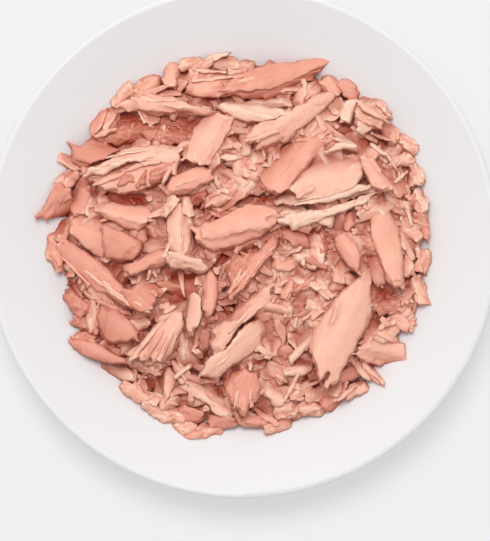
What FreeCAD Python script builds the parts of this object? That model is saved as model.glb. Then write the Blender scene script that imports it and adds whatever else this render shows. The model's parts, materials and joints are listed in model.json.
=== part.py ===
import FreeCAD, Part
import math
import os

# A side plate with a round heap of flaked tuna on it.
# Millimetres, +Z up. The origin is the middle of the plate's foot ring, on the table that it stands on.

# Plate: a coupe shape, flat in the well and rising in one sweep to a rounded lip, with a foot ring below.
PLATE_RADIUS = 85.0
LIP_RADIUS = 1.4
WELL_RADIUS = 50.0
WELL_HEIGHT = 6.2
WALL_SLOPE = 25.0
WALL_SWEEP_RADIUS = 30.0
UNDERSIDE_HEIGHT = 2.4
UNDERSIDE_SLOPE = 27.0
UNDERSIDE_SWEEP_RADIUS = 30.0
FOOT_RADIUS = 47.0
FOOT_WIDTH = 3.2
FOOT_ROUNDING = 0.7
FOOT_RECESS_HEIGHT = 1.8

# Heap: a low mound of packed fish, which the flakes lie on and stick out of.
MOUND_RADIUS = 63.5
MOUND_PEAK = 20.0
MOUND_FALL = 7.5
MOUND_FALL_POWER = 2.4
MOUND_SIDES = 32
MOUND_RINGS = (1.0, 0.93, 0.74, 0.45)
MOUND_SHOULDER_DROP = 1.2
OUTLINE_LOBES = ((2, 0.7, 40.0), (3, 0.8, 105.0), (5, 0.9, 20.0), (9, 0.6, 70.0))

# Flakes: how full a flake is along its length, from its blunt end to its far end, for each kind.
FLAKE_STATIONS = (0.0, 0.25, 0.72, 1.0)
SLAB = (0.6, 1.0, 0.94, 0.54)
LEAF = (0.2, 0.92, 0.86, 0.16)
WEDGE = (0.72, 1.0, 0.6, 0.16)
PRONG_DEPTH = 0.24
SINK = 0.35
# A flake's sides, as height and size in shares of its thickness and its outline.
# They are upright with a bevel along the top, or one taper all the way.
BEVELLED = ((-1.0, 1.0), (-SINK, 1.0), (0.0, 0.8))
TAPERED = ((-1.0, 1.0), (0.0, 0.7))

# The large flakes that show on top, lowest first:
# kind, prongs at the far end, centre x, y, length, width, thickness, turn, pitch, roll, lift.
# Turn is the direction of the far end from +X, in degrees.
# Pitch lifts the far end and roll lifts the left side, in degrees.
LARGE_FLAKES = (
    (SLAB, 1, -36.5, 24.5, 34, 14, 6.0, 13, 2, 8, 1.0),
    (SLAB, 1, -51.0, 31.0, 19, 9, 5.0, -18, -4, 12, 0.8),
    (WEDGE, 2, -17.5, 21.0, 18, 8, 4.0, 18, 3, 8, 1.4),
    (SLAB, 1, -41.0, 9.0, 19, 9, 4.5, -8, 2, 10, 0.6),
    (SLAB, 1, -46.5, 2.0, 27, 15, 5.5, -24, -2, 8, 1.6),
    (WEDGE, 1, -50.5, -10.0, 33, 10, 5.0, -41, -4, 10, 1.2),
    (SLAB, 1, -33.5, -17.5, 16, 12, 5.0, -40, -3, -4, 0.8),
    (SLAB, 1, -41.0, -28.0, 15, 12, 5.0, -45, -3, 0, 0.6),
    (WEDGE, 1, -24.5, 45.5, 34, 7, 4.5, -4, -2, 14, 1.4),
    (SLAB, 1, -8.0, 52.5, 21, 10, 5.0, 4, 0, 8, 0.8),
    (WEDGE, 1, 11.0, 55.5, 40, 10, 5.5, 17, 2, 12, 1.8),
    (SLAB, 1, -32.5, 52.0, 12, 8, 4.5, 45, 0, 4, 0.8),
    (SLAB, 1, 2.0, 43.0, 22, 6, 4.0, -15, 0, 8, 1.6),
    (SLAB, 1, -12.0, 33.5, 21, 12, 5.0, 236, -4, 4, 1.4),
    (WEDGE, 3, 17.5, 42.0, 36, 9, 5.0, 212, -3, 10, 2.2),
    (SLAB, 1, 34.5, 44.0, 10, 7, 5.0, 60, 0, 0, 0.8),
    (LEAF, 1, 42.5, 43.0, 15, 12, 5.0, 15, 0, 0, 0.8),
    (SLAB, 1, 27.5, 12.5, 37, 11, 4.5, 16, 0, 4, 0.8),
    (SLAB, 1, 28.5, 22.0, 26, 14, 4.5, 26, 1, 5, 2.0),
    (SLAB, 1, 18.5, 27.0, 30, 12, 5.5, 228, -2, 8, 1.8),
    (SLAB, 1, 43.5, 23.5, 14, 8, 4.5, -60, -2, 6, 0.8),
    (SLAB, 1, 50.0, 30.0, 12, 9, 5.0, 60, 0, 0, 0.6),
    (SLAB, 1, 48.0, 0.0, 31, 11, 6.0, -74, -3, 6, 1.8),
    (WEDGE, 1, 34.5, -4.0, 14, 8, 5.0, -60, -2, 8, 1.2),
    (SLAB, 1, -1.5, 5.0, 29, 13, 5.5, 12, 2, 8, 1.6),
    (SLAB, 1, -20.5, 4.0, 18, 10, 5.5, 88, 0, -8, 1.4),
    (SLAB, 1, -31.0, -7.0, 15, 6, 4.5, 20, 0, 6, 1.2),
    (SLAB, 1, -18.5, -7.0, 14, 6, 4.5, -14, 0, 6, 1.4),
    (LEAF, 1, -10.0, -17.0, 16, 6.5, 4.5, 268, -2, 4, 1.2),
    (LEAF, 1, -16.5, -23.5, 14, 6.5, 4.5, 262, -2, 4, 1.0),
    (WEDGE, 1, 2.5, -8.5, 21, 8, 4.5, 238, -3, 10, 1.6),
    (LEAF, 1, 24.0, -6.5, 12, 4.5, 4.0, -25, 0, 6, 0.8),
    (SLAB, 1, -0.5, -25.0, 28, 8, 4.5, 226, -2, 8, 1.4),
    (SLAB, 1, -2.5, -36.0, 28, 12, 5.5, 223, -3, 8, 1.6),
    (WEDGE, 2, 33.0, -27.5, 41, 17, 6.0, 250, -3, 6, 2.0),
    (WEDGE, 1, 46.5, -36.5, 18, 10, 4.5, -6, -3, 4, 1.2),
    (SLAB, 1, -27.0, -31.0, 19, 9, 4.5, 232, -2, 4, 0.8),
    (WEDGE, 1, -48.0, -36.0, 18, 7, 4.5, -18, -3, 6, 0.8),
    (SLAB, 1, 0.0, -47.5, 15, 11, 5.0, 260, -4, 0, 0.8),
    (WEDGE, 1, -12.0, -53.0, 17, 6, 4.5, -34, -4, 0, 0.8),
    (LEAF, 1, -25.0, -48.0, 13, 6, 4.5, 250, -3, 0, 0.8),
)

# Small flakes in rings: the outer two fall down the side of the heap and break its outline.
FLAKE_RINGS = (
    {"count": 37, "radius": 60.5, "length": (10, 17), "width": (5, 8), "thickness": 4.5, "lift": 0.5},
    {"count": 25, "radius": 51.5, "length": (9, 15), "width": (5, 8), "thickness": 4.5, "lift": 0.6},
    {"count": 14, "radius": 25.0, "length": (9, 13), "width": (4, 6), "thickness": 3.5, "lift": 0.5},
)
SIDE_SLOPE = -14.0
RING_KINDS = (SLAB, LEAF, WEDGE)
# How far a small flake strays from its ring, in millimetres, and from pointing outwards, in degrees.
RING_STRAY = (-1.2, 1.2)
RING_TURN = (-75.0, 75.0)
# How many steps each of a ring's spread values takes from one flake to the next, so that they differ.
STRAY_STEP = 3
TURN_STEP = 5
LENGTH_STEP = 2
WIDTH_STEP = 7
FLATNESS = 1e-6
GOLDEN_FRACTION = (math.sqrt(5.0) - 1.0) / 2.0
PART_NAMES = ("plate", "flaked_tuna")


def direction(angle):
    """The unit vector in the X-Z half plane at an angle in degrees above +X."""
    return FreeCAD.Vector(math.cos(math.radians(angle)), 0, math.sin(math.radians(angle)))


def arc_edge(centre, radius, first_angle, last_angle):
    """An arc in the X-Z half plane about a centre, between two angles in degrees."""
    ends = [centre + direction(angle) * radius for angle in (first_angle, last_angle)]
    middle = centre + direction((first_angle + last_angle) / 2) * radius
    return Part.Arc(ends[0], middle, ends[1]).toShape()


def well_sweep_centre():
    """The centre of the arc that turns the flat well up into the wall."""
    return FreeCAD.Vector(WELL_RADIUS, 0, WELL_HEIGHT + WALL_SWEEP_RADIUS)


def lip_centre():
    """The centre of the lip's round section, which the wall's upper face runs into without a step."""
    wall_start = well_sweep_centre() + direction(WALL_SLOPE - 90) * WALL_SWEEP_RADIUS
    slope = math.radians(WALL_SLOPE)
    reach = PLATE_RADIUS - LIP_RADIUS
    height = wall_start.z + (reach - wall_start.x) * math.tan(slope)
    return FreeCAD.Vector(reach, 0, height - LIP_RADIUS / math.cos(slope))


def upper_edges():
    """The plate's upper face in section, from the middle of the well to the top of the lip."""
    sweep = well_sweep_centre()
    wall_start = sweep + direction(WALL_SLOPE - 90) * WALL_SWEEP_RADIUS
    wall_end = lip_centre() + direction(WALL_SLOPE + 90) * LIP_RADIUS
    return [
        Part.makeLine(FreeCAD.Vector(0, 0, WELL_HEIGHT), FreeCAD.Vector(WELL_RADIUS, 0, WELL_HEIGHT)),
        arc_edge(sweep, WALL_SWEEP_RADIUS, -90, WALL_SLOPE - 90),
        Part.makeLine(wall_start, wall_end),
    ]


def lower_edges():
    """The plate's underside in section, from the lip down past the foot ring to the axis."""
    lip = lip_centre()
    slope = math.tan(math.radians(UNDERSIDE_SLOPE))
    wall_top = lip + direction(UNDERSIDE_SLOPE - 90) * LIP_RADIUS
    corner = wall_top.x - (wall_top.z - UNDERSIDE_HEIGHT) / slope
    reach = UNDERSIDE_SWEEP_RADIUS * math.tan(math.radians(UNDERSIDE_SLOPE / 2))
    sweep = FreeCAD.Vector(corner - reach, 0, UNDERSIDE_HEIGHT + UNDERSIDE_SWEEP_RADIUS)
    wall_foot = sweep + direction(UNDERSIDE_SLOPE - 90) * UNDERSIDE_SWEEP_RADIUS
    inner_radius = FOOT_RADIUS - FOOT_WIDTH
    underside_start = FreeCAD.Vector(sweep.x, 0, UNDERSIDE_HEIGHT)
    foot_top = FreeCAD.Vector(FOOT_RADIUS, 0, UNDERSIDE_HEIGHT)
    outer_rounding = FreeCAD.Vector(FOOT_RADIUS - FOOT_ROUNDING, 0, FOOT_ROUNDING)
    inner_rounding = FreeCAD.Vector(inner_radius + FOOT_ROUNDING, 0, FOOT_ROUNDING)
    recess_corner = FreeCAD.Vector(inner_radius, 0, FOOT_RECESS_HEIGHT)
    return [
        Part.makeLine(wall_top, wall_foot),
        arc_edge(sweep, UNDERSIDE_SWEEP_RADIUS, UNDERSIDE_SLOPE - 90, -90),
        Part.makeLine(underside_start, foot_top),
        Part.makeLine(foot_top, FreeCAD.Vector(FOOT_RADIUS, 0, FOOT_ROUNDING)),
        arc_edge(outer_rounding, FOOT_ROUNDING, 0, -90),
        Part.makeLine(FreeCAD.Vector(outer_rounding.x, 0, 0), FreeCAD.Vector(inner_rounding.x, 0, 0)),
        arc_edge(inner_rounding, FOOT_ROUNDING, -90, -180),
        Part.makeLine(FreeCAD.Vector(inner_radius, 0, FOOT_ROUNDING), recess_corner),
        Part.makeLine(recess_corner, FreeCAD.Vector(0, 0, FOOT_RECESS_HEIGHT)),
    ]


def revolved(edges):
    """The solid swept by a closed section turned once about the plate's axis."""
    wire = Part.Wire(Part.__sortEdges__(edges))
    return Part.Face(wire).revolve(FreeCAD.Vector(0, 0, 0), FreeCAD.Vector(0, 0, 1), 360)


def make_plate():
    """The whole plate: well, wall, lip, underside and foot ring."""
    lip = arc_edge(lip_centre(), LIP_RADIUS, WALL_SLOPE + 90, UNDERSIDE_SLOPE - 90)
    axis = Part.makeLine(FreeCAD.Vector(0, 0, FOOT_RECESS_HEIGHT), FreeCAD.Vector(0, 0, WELL_HEIGHT))
    return revolved(upper_edges() + [lip] + lower_edges() + [axis])


def make_seat():
    """What lies below the plate's upper face, which the heap is cut with so that it sits on the plate."""
    wall_end = upper_edges()[-1].Vertexes[-1].Point
    base = -LIP_RADIUS
    outline = [
        Part.makeLine(wall_end, FreeCAD.Vector(wall_end.x, 0, base)),
        Part.makeLine(FreeCAD.Vector(wall_end.x, 0, base), FreeCAD.Vector(0, 0, base)),
        Part.makeLine(FreeCAD.Vector(0, 0, base), FreeCAD.Vector(0, 0, WELL_HEIGHT)),
    ]
    return revolved(upper_edges() + outline)


def flat_pieces(quad):
    """A four-sided face as it is where it is flat, or else cut into two triangles along a diagonal."""
    normal = (quad[1] - quad[0]).cross(quad[2] - quad[0]).normalize()
    flat = abs((quad[3] - quad[0]).dot(normal)) < FLATNESS
    return [quad] if flat else [quad[:3], quad[2:] + quad[:1]]


def faceted_solid(rings):
    """A closed solid from rings of points, one above the other, with the first and last rings capped."""
    outlines = [rings[0], rings[-1]]
    for lower, upper in zip(rings, rings[1:]):
        for index, point in enumerate(lower):
            after = (index + 1) % len(lower)
            outlines.extend(flat_pieces([point, lower[after], upper[after], upper[index]]))
    faces = [Part.Face(Part.makePolygon(outline + outline[:1])) for outline in outlines]
    return Part.makeSolid(Part.makeShell(faces))


def outline_radius(angle):
    """The mound's radius towards an angle in degrees, a circle with a few soft lobes."""
    lobes = (size * math.cos(math.radians(count * angle + phase)) for count, size, phase in OUTLINE_LOBES)
    return MOUND_RADIUS + sum(lobes)


def mound_height(x, y):
    """The height of the mound's top above the origin at a place on the plate."""
    share = math.hypot(x, y) / outline_radius(math.degrees(math.atan2(y, x)))
    return MOUND_PEAK - MOUND_FALL * share**MOUND_FALL_POWER


def make_mound():
    """The packed middle of the heap, reaching down into the plate, with a softened shoulder."""
    angles = [360.0 * side / MOUND_SIDES for side in range(MOUND_SIDES)]
    rings = []
    for share in MOUND_RINGS:
        ring = []
        for angle in angles:
            reach = outline_radius(angle) * share
            x, y = reach * math.cos(math.radians(angle)), reach * math.sin(math.radians(angle))
            drop = MOUND_SHOULDER_DROP if share == 1.0 else 0.0
            ring.append(FreeCAD.Vector(x, y, mound_height(x, y) - drop))
        rings.append(ring)
    base = [FreeCAD.Vector(point.x, point.y, 0) for point in rings[0]]
    top = [FreeCAD.Vector(point.x, point.y, MOUND_PEAK) for point in rings[-1]]
    return faceted_solid([base] + rings[:-1] + [top])


def flake_outline(fullness, prongs, length, width):
    """A flake seen from above, its length along X: a blunt end, a full middle and a torn or pointed end."""
    points = []
    for side in (-1, 1):
        stations = list(zip(FLAKE_STATIONS, fullness))
        half = [(length * (share - 0.5), side * width / 2 * full) for share, full in stations]
        points.extend(half if side < 0 else reversed(half))
    notches = []
    tip_width = width * fullness[-1]
    for notch in range(1, prongs):
        across = tip_width * (notch / prongs - 0.5)
        notches.append((length * (0.5 - PRONG_DEPTH), across))
        if notch < prongs - 1:
            notches.append((length / 2, across + tip_width / prongs / 2))
    first_half = len(FLAKE_STATIONS)
    return points[:first_half] + notches + points[first_half:]


def make_flake(fullness, prongs, x, y, length, width, thickness, turn, pitch, roll, lift, sides=BEVELLED):
    """A flake with a flat top, laid on the mound at its place and tilted."""
    outline = flake_outline(fullness, prongs, length, width)
    rings = []
    for level, scale in sides:
        rings.append([FreeCAD.Vector(u * scale, v * scale, level * thickness) for u, v in outline])
    solid = faceted_solid(rings)
    turned = FreeCAD.Rotation(turn, -pitch, roll)
    height = mound_height(x, y) + lift + thickness * SINK
    solid.Placement = FreeCAD.Placement(FreeCAD.Vector(x, y, height), turned)
    return solid


def spread(index, limits):
    """A value between two limits that jumps about evenly as the index grows."""
    return limits[0] + (limits[1] - limits[0]) * (index * GOLDEN_FRACTION % 1.0)


def make_flake_ring(count, radius, length, width, thickness, lift):
    """A ring of small flakes on the mound, each turned another way and sloping with the mound's side."""
    flakes = []
    for index in range(count):
        angle = 360.0 * index / count
        reach = radius * outline_radius(angle) / MOUND_RADIUS + spread(index * STRAY_STEP, RING_STRAY)
        x, y = reach * math.cos(math.radians(angle)), reach * math.sin(math.radians(angle))
        lean = spread(index * TURN_STEP, RING_TURN)
        slope = SIDE_SLOPE * (radius / MOUND_RADIUS) ** 2
        pitch = slope * math.cos(math.radians(lean))
        roll = -slope * math.sin(math.radians(lean))
        kind = RING_KINDS[index % len(RING_KINDS)]
        size = (spread(index * LENGTH_STEP, length), spread(index * WIDTH_STEP, width), thickness)
        flakes.append(make_flake(kind, 1, x, y, *size, angle + lean, pitch, roll, lift, TAPERED))
    return flakes


def make_heap():
    """The heap of tuna as one solid: the mound and every flake joined, seated on the plate's upper face."""
    flakes = [make_flake(*row) for row in LARGE_FLAKES]
    for ring in FLAKE_RINGS:
        flakes.extend(make_flake_ring(**ring))
    heap = make_mound().multiFuse(flakes).cut(make_seat())
    return max(heap.Solids, key=lambda solid: solid.Volume)


os.makedirs("parts", exist_ok=True)
for name, solid in zip(PART_NAMES, (make_plate(), make_heap())):
    solid.exportStep("parts/" + name + ".step")
    print(name, round(solid.Volume / 1000, 1), "cm3,", len(solid.Faces), "faces, valid", solid.isValid())
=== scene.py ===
"""Looks of a white side plate with a loose heap of flaked, cooked tuna on it.

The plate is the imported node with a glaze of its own. The heap's node is replaced by a core of minced fish and
by real flakes, shreds and crumbs laid on it one after the other, each one resting on what was laid before it.

A flake is shaped in a space of its own, where one unit is a millimetre, and its length runs along X. It is
brought to metres when its piece is built. Everything random is seeded. Each set of small shapes, each
strewing and each placed flake has a seed of its own, so a change to one doesn't change the draws of another.
"""

import json
import logging
import math
import random
from dataclasses import dataclass
from enum import Enum

import bmesh
import bpy
import numpy as np
from mathutils import Euler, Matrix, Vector

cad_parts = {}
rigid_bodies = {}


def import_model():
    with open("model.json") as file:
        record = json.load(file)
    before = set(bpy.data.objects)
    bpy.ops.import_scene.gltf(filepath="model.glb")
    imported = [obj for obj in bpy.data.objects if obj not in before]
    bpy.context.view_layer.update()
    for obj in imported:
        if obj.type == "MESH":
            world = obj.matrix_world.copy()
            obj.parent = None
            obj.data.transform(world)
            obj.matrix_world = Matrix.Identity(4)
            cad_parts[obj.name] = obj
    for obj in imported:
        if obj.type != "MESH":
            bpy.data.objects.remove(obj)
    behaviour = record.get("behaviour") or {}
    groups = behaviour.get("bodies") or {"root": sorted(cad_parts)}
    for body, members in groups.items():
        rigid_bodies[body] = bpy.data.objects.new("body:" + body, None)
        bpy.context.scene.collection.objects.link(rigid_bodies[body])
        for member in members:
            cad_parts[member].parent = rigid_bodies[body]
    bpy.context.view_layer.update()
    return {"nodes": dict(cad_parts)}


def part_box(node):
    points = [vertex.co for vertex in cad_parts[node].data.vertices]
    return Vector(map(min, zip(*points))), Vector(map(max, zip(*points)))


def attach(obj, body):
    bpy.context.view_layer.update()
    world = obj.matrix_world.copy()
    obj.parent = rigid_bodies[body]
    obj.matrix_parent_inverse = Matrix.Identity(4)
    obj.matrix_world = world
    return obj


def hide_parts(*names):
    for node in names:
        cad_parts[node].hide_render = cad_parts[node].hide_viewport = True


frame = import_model()

MM = 0.001
HEAP_NODE = "flaked_tuna"
PLATE_NODE = "plate"
BODY = "root"
SEED = 4656
GRAIN_FIELD, TONE_FIELD, RIM_FIELD, SIDE_FIELD, DEPTH_FIELD = "grain", "tone", "rim", "side", "depth"

log = logging.getLogger("tuna_plate")


# --------------------------------------------------------------------------------------------------
# Small tools
# --------------------------------------------------------------------------------------------------


def linear(hex_colour: str, alpha: float = 1.0) -> tuple[float, float, float, float]:
    """Turns an sRGB hex colour into the linear values that a shader takes.

    Args:
        hex_colour: six hex digits, with or without a leading #.
        alpha: the fourth value, passed through.

    Returns:
        Linear red, green and blue, and alpha.
    """
    digits = hex_colour.lstrip("#")
    shares = [int(digits[place : place + 2], 16) / 255 for place in (0, 2, 4)]
    curved = [share / 12.92 if share <= 0.04045 else ((share + 0.055) / 1.055) ** 2.4 for share in shares]
    return (curved[0], curved[1], curved[2], alpha)


def add_node(
    tree: bpy.types.NodeTree, kind: str, settings: dict | None = None, links: dict | None = None
) -> bpy.types.Node:
    """Adds one node to a tree.

    Args:
        tree: the material's or world's node tree.
        kind: the node's type name.
        settings: properties by name, and input values by socket name or number.
        links: the output socket that feeds each input, by the input's name or number.

    Returns:
        The new node.
    """
    node = tree.nodes.new(kind)
    for name, value in (settings or {}).items():
        if isinstance(name, str) and hasattr(node, name):
            setattr(node, name, value)
        else:
            node.inputs[name].default_value = value
    for name, source in (links or {}).items():
        tree.links.new(source, node.inputs[name])
    return node


def cloud_noise(
    tree: bpy.types.NodeTree,
    place: bpy.types.NodeSocket,
    scale: float,
    detail: float = 2.0,
    roughness: float = 0.5,
    distortion: float = 0.0,
) -> bpy.types.NodeSocket:
    """Adds a cloudy noise.

    Args:
        tree: the material's node tree.
        place: the coordinates that it is read at.
        scale: how many clouds there are in a unit of those coordinates.
        detail: how many finer layers it has.
        roughness: how strong the finer layers are.
        distortion: how far the clouds are warped.

    Returns:
        The noise, from 0 to 1.
    """
    settings = {"Scale": scale, "Detail": detail, "Roughness": roughness, "Distortion": distortion}
    return add_node(tree, "ShaderNodeTexNoise", settings, {"Vector": place}).outputs[0]


def ranged(
    tree: bpy.types.NodeTree,
    value: bpy.types.NodeSocket,
    given: tuple[float, float],
    wanted: tuple[float, float] = (0.0, 1.0),
) -> bpy.types.NodeSocket:
    """Maps one range of a value onto another and holds it within that.

    Args:
        tree: the material's node tree.
        value: the value.
        given: the two ends that it is read between.
        wanted: what those ends become.

    Returns:
        The new value.
    """
    settings = {"From Min": given[0], "From Max": given[1], "To Min": wanted[0], "To Max": wanted[1]}
    return add_node(tree, "ShaderNodeMapRange", settings, {"Value": value}).outputs[0]


def maths(
    tree: bpy.types.NodeTree, operation: str, *values: bpy.types.NodeSocket | float, clamp: bool = False
) -> bpy.types.NodeSocket:
    """Adds a maths node.

    Args:
        tree: the material's node tree.
        operation: the node's operation.
        values: what it works on in order, as numbers or as other nodes' outputs.
        clamp: whether the result is held between 0 and 1.

    Returns:
        The result.
    """
    fed = {place: value for place, value in enumerate(values) if isinstance(value, bpy.types.NodeSocket)}
    fixed = {place: value for place, value in enumerate(values) if place not in fed}
    settings = {"operation": operation, "use_clamp": clamp, **fixed}
    return add_node(tree, "ShaderNodeMath", settings, fed).outputs[0]


def blended(
    tree: bpy.types.NodeTree,
    share: bpy.types.NodeSocket,
    first: bpy.types.NodeSocket | tuple[float, float, float, float],
    second: tuple[float, float, float, float],
) -> bpy.types.NodeSocket:
    """Mixes two colours.

    Args:
        tree: the material's node tree.
        share: how much of the second there is.
        first: a linear colour, or another node's output.
        second: a linear colour.

    Returns:
        The mixed colour.
    """
    settings = {"data_type": "RGBA", 7: second}
    links = {0: share}
    if isinstance(first, bpy.types.NodeSocket):
        links[6] = first
    else:
        settings[6] = first
    return add_node(tree, "ShaderNodeMix", settings, links).outputs[2]


def deselect() -> None:
    """Leaves edit mode and deselects every object."""
    if bpy.context.object and bpy.context.object.mode != "OBJECT":
        bpy.ops.object.mode_set(mode="OBJECT")
    bpy.ops.object.select_all(action="DESELECT")


def split_off(place: tuple[float, float, float], normal: tuple[float, float, float]) -> None:
    """Splits off what lies outside a plane, from the part of the edited mesh that something is selected on.

    Args:
        place: a point on the plane.
        normal: the direction out of the part that stays.
    """
    bpy.ops.mesh.select_linked()
    bpy.ops.mesh.bisect(plane_co=place, plane_no=normal, use_fill=True, clear_outer=True)


def apply_modifier(piece: bpy.types.Object, kind: str, **settings) -> None:
    """Adds a modifier to the active piece, sets it and applies it.

    Args:
        piece: the active object.
        kind: the modifier's type name.
        settings: the modifier's properties.
    """
    modifier = piece.modifiers.new(kind.lower(), kind)
    for name, value in settings.items():
        setattr(modifier, name, value)
    bpy.ops.object.modifier_apply(modifier=modifier.name)


# --------------------------------------------------------------------------------------------------
# Finishes
# --------------------------------------------------------------------------------------------------


@dataclass(frozen=True)
class Glaze:
    """Glazed white porcelain: a cool white body under clear glass glaze, fired on a bare foot."""

    name: str = "glazed_porcelain"
    white: str = "EDEBEC"
    bisque: str = "D9D0C4"
    roughness: float = 0.42
    shine: float = 0.25
    glaze_ior: float = 1.5
    ripple_mm: float = 14.0
    ripple_height_mm: float = 0.003
    bare_height_mm: float = 0.35
    bare_roughness: float = 0.85

    def material(self) -> bpy.types.Material:
        """Builds the glaze.

        Returns:
            The material.
        """
        finish = bpy.data.materials.new(self.name)
        finish.use_nodes = True
        tree = finish.node_tree
        shader = tree.nodes["Principled BSDF"]
        place = add_node(tree, "ShaderNodeTexCoord").outputs["Object"]
        # Dipped glaze pools very slightly, so it ripples over centimetres and its gloss is not quite even.
        ripple = cloud_noise(tree, place, 1 / (self.ripple_mm * MM))
        gloss = ranged(tree, ripple, (0.0, 1.0), (self.roughness - 0.05, self.roughness + 0.05))
        # The ring that stands in the kiln is wiped clean of glaze, so it is matte and creamy.
        height = add_node(tree, "ShaderNodeSeparateXYZ", links={0: place}).outputs["Z"]
        edge = self.bare_height_mm * MM
        bare = ranged(tree, height, (edge, edge * 0.6))
        colour = blended(tree, bare, linear(self.white), linear(self.bisque))
        settings = {"data_type": "FLOAT", 3: self.bare_roughness}
        dull = add_node(tree, "ShaderNodeMix", settings, {0: bare, 2: gloss})
        settings = {"Strength": 0.4, "Distance": self.ripple_height_mm * MM}
        bump = add_node(tree, "ShaderNodeBump", settings, {"Height": ripple})
        tree.links.new(colour, shader.inputs["Base Color"])
        tree.links.new(dull.outputs[0], shader.inputs["Roughness"])
        tree.links.new(bump.outputs["Normal"], shader.inputs["Normal"])
        shader.inputs["Specular IOR Level"].default_value = self.shine
        shader.inputs["IOR"].default_value = self.glaze_ior
        return finish


@dataclass(frozen=True)
class CookedTuna:
    """Steamed tuna muscle: opaque pink-beige fibres, painted cream highlights on edges, painted red-brown gap
    shade.

    Attributes:
        flesh: most of the muscle.
        pink: cloudy patches in it, and flakes whose tone is below 0, partly as random tone and partly as
            painted shade.
        cream: pale streaks along the fibres, creamier flakes, and the painted highlight on convex edges.
        painted_shade: painted shade on steep faces, most on the near side, in hollows and on dark-toned flakes.
        gap_shade: painted shade in the gaps, on what lies deep in the heap.
        edge_highlight: how strong the painted highlight on a convex edge is.
        hollow_shade: how dark the painted shade in a hollow of the relief is.
        side_shade: how dark the painted shade on a steep near side is.
    """

    name: str
    flesh: str = "FCBAA1"
    pink: str = "EF9E89"
    cream: str = "FFDFC8"
    painted_shade: str = "C2765E"
    gap_shade: str = "A23212"
    roughness: float = 0.45
    fibre_width_mm: float = 0.75
    fibre_length_mm: float = 6.0
    fibre_height_mm: float = 0.08
    grit_mm: float = 0.5
    grit_share: float = 0.35
    patch_mm: float = 7.0
    edge_highlight: float = 0.75
    hollow_shade: float = 0.4
    side_shade: float = 0.68
    shine: float = 0.45
    moist_ior: float = 1.4

    def material(self) -> bpy.types.Material:
        """Builds the flesh.

        Returns:
            The material.
        """
        finish = bpy.data.materials.new(self.name)
        finish.use_nodes = True
        tree = finish.node_tree
        shader = tree.nodes["Principled BSDF"]
        names = (GRAIN_FIELD, TONE_FIELD, RIM_FIELD, SIDE_FIELD, DEPTH_FIELD)
        fields = [add_node(tree, "ShaderNodeAttribute", {"attribute_name": name}) for name in names]
        grain = fields[0].outputs["Vector"]
        tone, rim, side, depth = [node.outputs["Fac"] for node in fields[1:]]
        # Bundles of fibre run along a flake: long in its own X, a fibre wide in Y and Z.
        scale = (1 / self.fibre_length_mm, 1 / self.fibre_width_mm, 1 / self.fibre_width_mm)
        along = add_node(tree, "ShaderNodeMapping", {"Scale": scale}, {"Vector": grain}).outputs["Vector"]
        fibres = cloud_noise(tree, along, 1.0, detail=3.0, roughness=0.6, distortion=0.9)
        grit = cloud_noise(tree, grain, 1 / self.grit_mm, roughness=0.6)
        # Cooking leaves cloudy patches, pinker and paler, several millimetres across.
        clouded = ranged(tree, cloud_noise(tree, grain, 1 / self.patch_mm), (0.35, 0.7), (0.0, 0.5))
        # A flake whose tone is below 0 is pinker throughout, partly as random tone and partly as painted shade.
        muscle = ranged(tree, tone, (0.05, -0.3), (0.0, 0.7))
        pinker = maths(tree, "ADD", clouded, muscle, clamp=True)
        flesh = blended(tree, pinker, linear(self.flesh), linear(self.pink))
        # Pale streaks follow the fibres; convex edges get a painted cream highlight, and higher tones are
        # creamier.
        streak = ranged(tree, fibres, (0.48, 0.75), (0.0, 0.22))
        streaked = blended(tree, streak, flesh, linear(self.cream))
        pale = maths(tree, "MULTIPLY_ADD", rim, self.edge_highlight, tone, clamp=True)
        toned = blended(tree, pale, streaked, linear(self.cream))
        # Painted shade: steep faces, the more so on the near side away from the lamp, hollows of the relief and
        # flakes of a tone below -0.1 are mixed towards a darker red-brown.
        dark = ranged(tree, tone, (-0.1, -1.0), (0.0, 0.8))
        hollow = ranged(tree, rim, (0.0, -1.0), (0.0, self.hollow_shade))
        tone_and_hollow_shade = maths(tree, "ADD", dark, hollow)
        torn = maths(tree, "MULTIPLY_ADD", side, self.side_shade, tone_and_hollow_shade, clamp=True)
        sided = blended(tree, torn, toned, linear(self.painted_shade))
        # Painted shade: what lies deep in the heap, and most in a gap closed in all round, is darker and
        # redder.
        sunk = blended(tree, depth, sided, linear(self.gap_shade))
        wet = ranged(tree, grit, (0.0, 1.0), (self.roughness - 0.1, self.roughness + 0.12))
        relief = maths(tree, "MULTIPLY_ADD", grit, self.grit_share, fibres)
        settings = {"Strength": 1.0, "Distance": self.fibre_height_mm * MM}
        bump = add_node(tree, "ShaderNodeBump", settings, {"Height": relief})
        tree.links.new(sunk, shader.inputs["Base Color"])
        tree.links.new(wet, shader.inputs["Roughness"])
        tree.links.new(bump.outputs["Normal"], shader.inputs["Normal"])
        shader.inputs["IOR"].default_value = self.moist_ior
        shader.inputs["Specular IOR Level"].default_value = self.shine
        return finish


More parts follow.
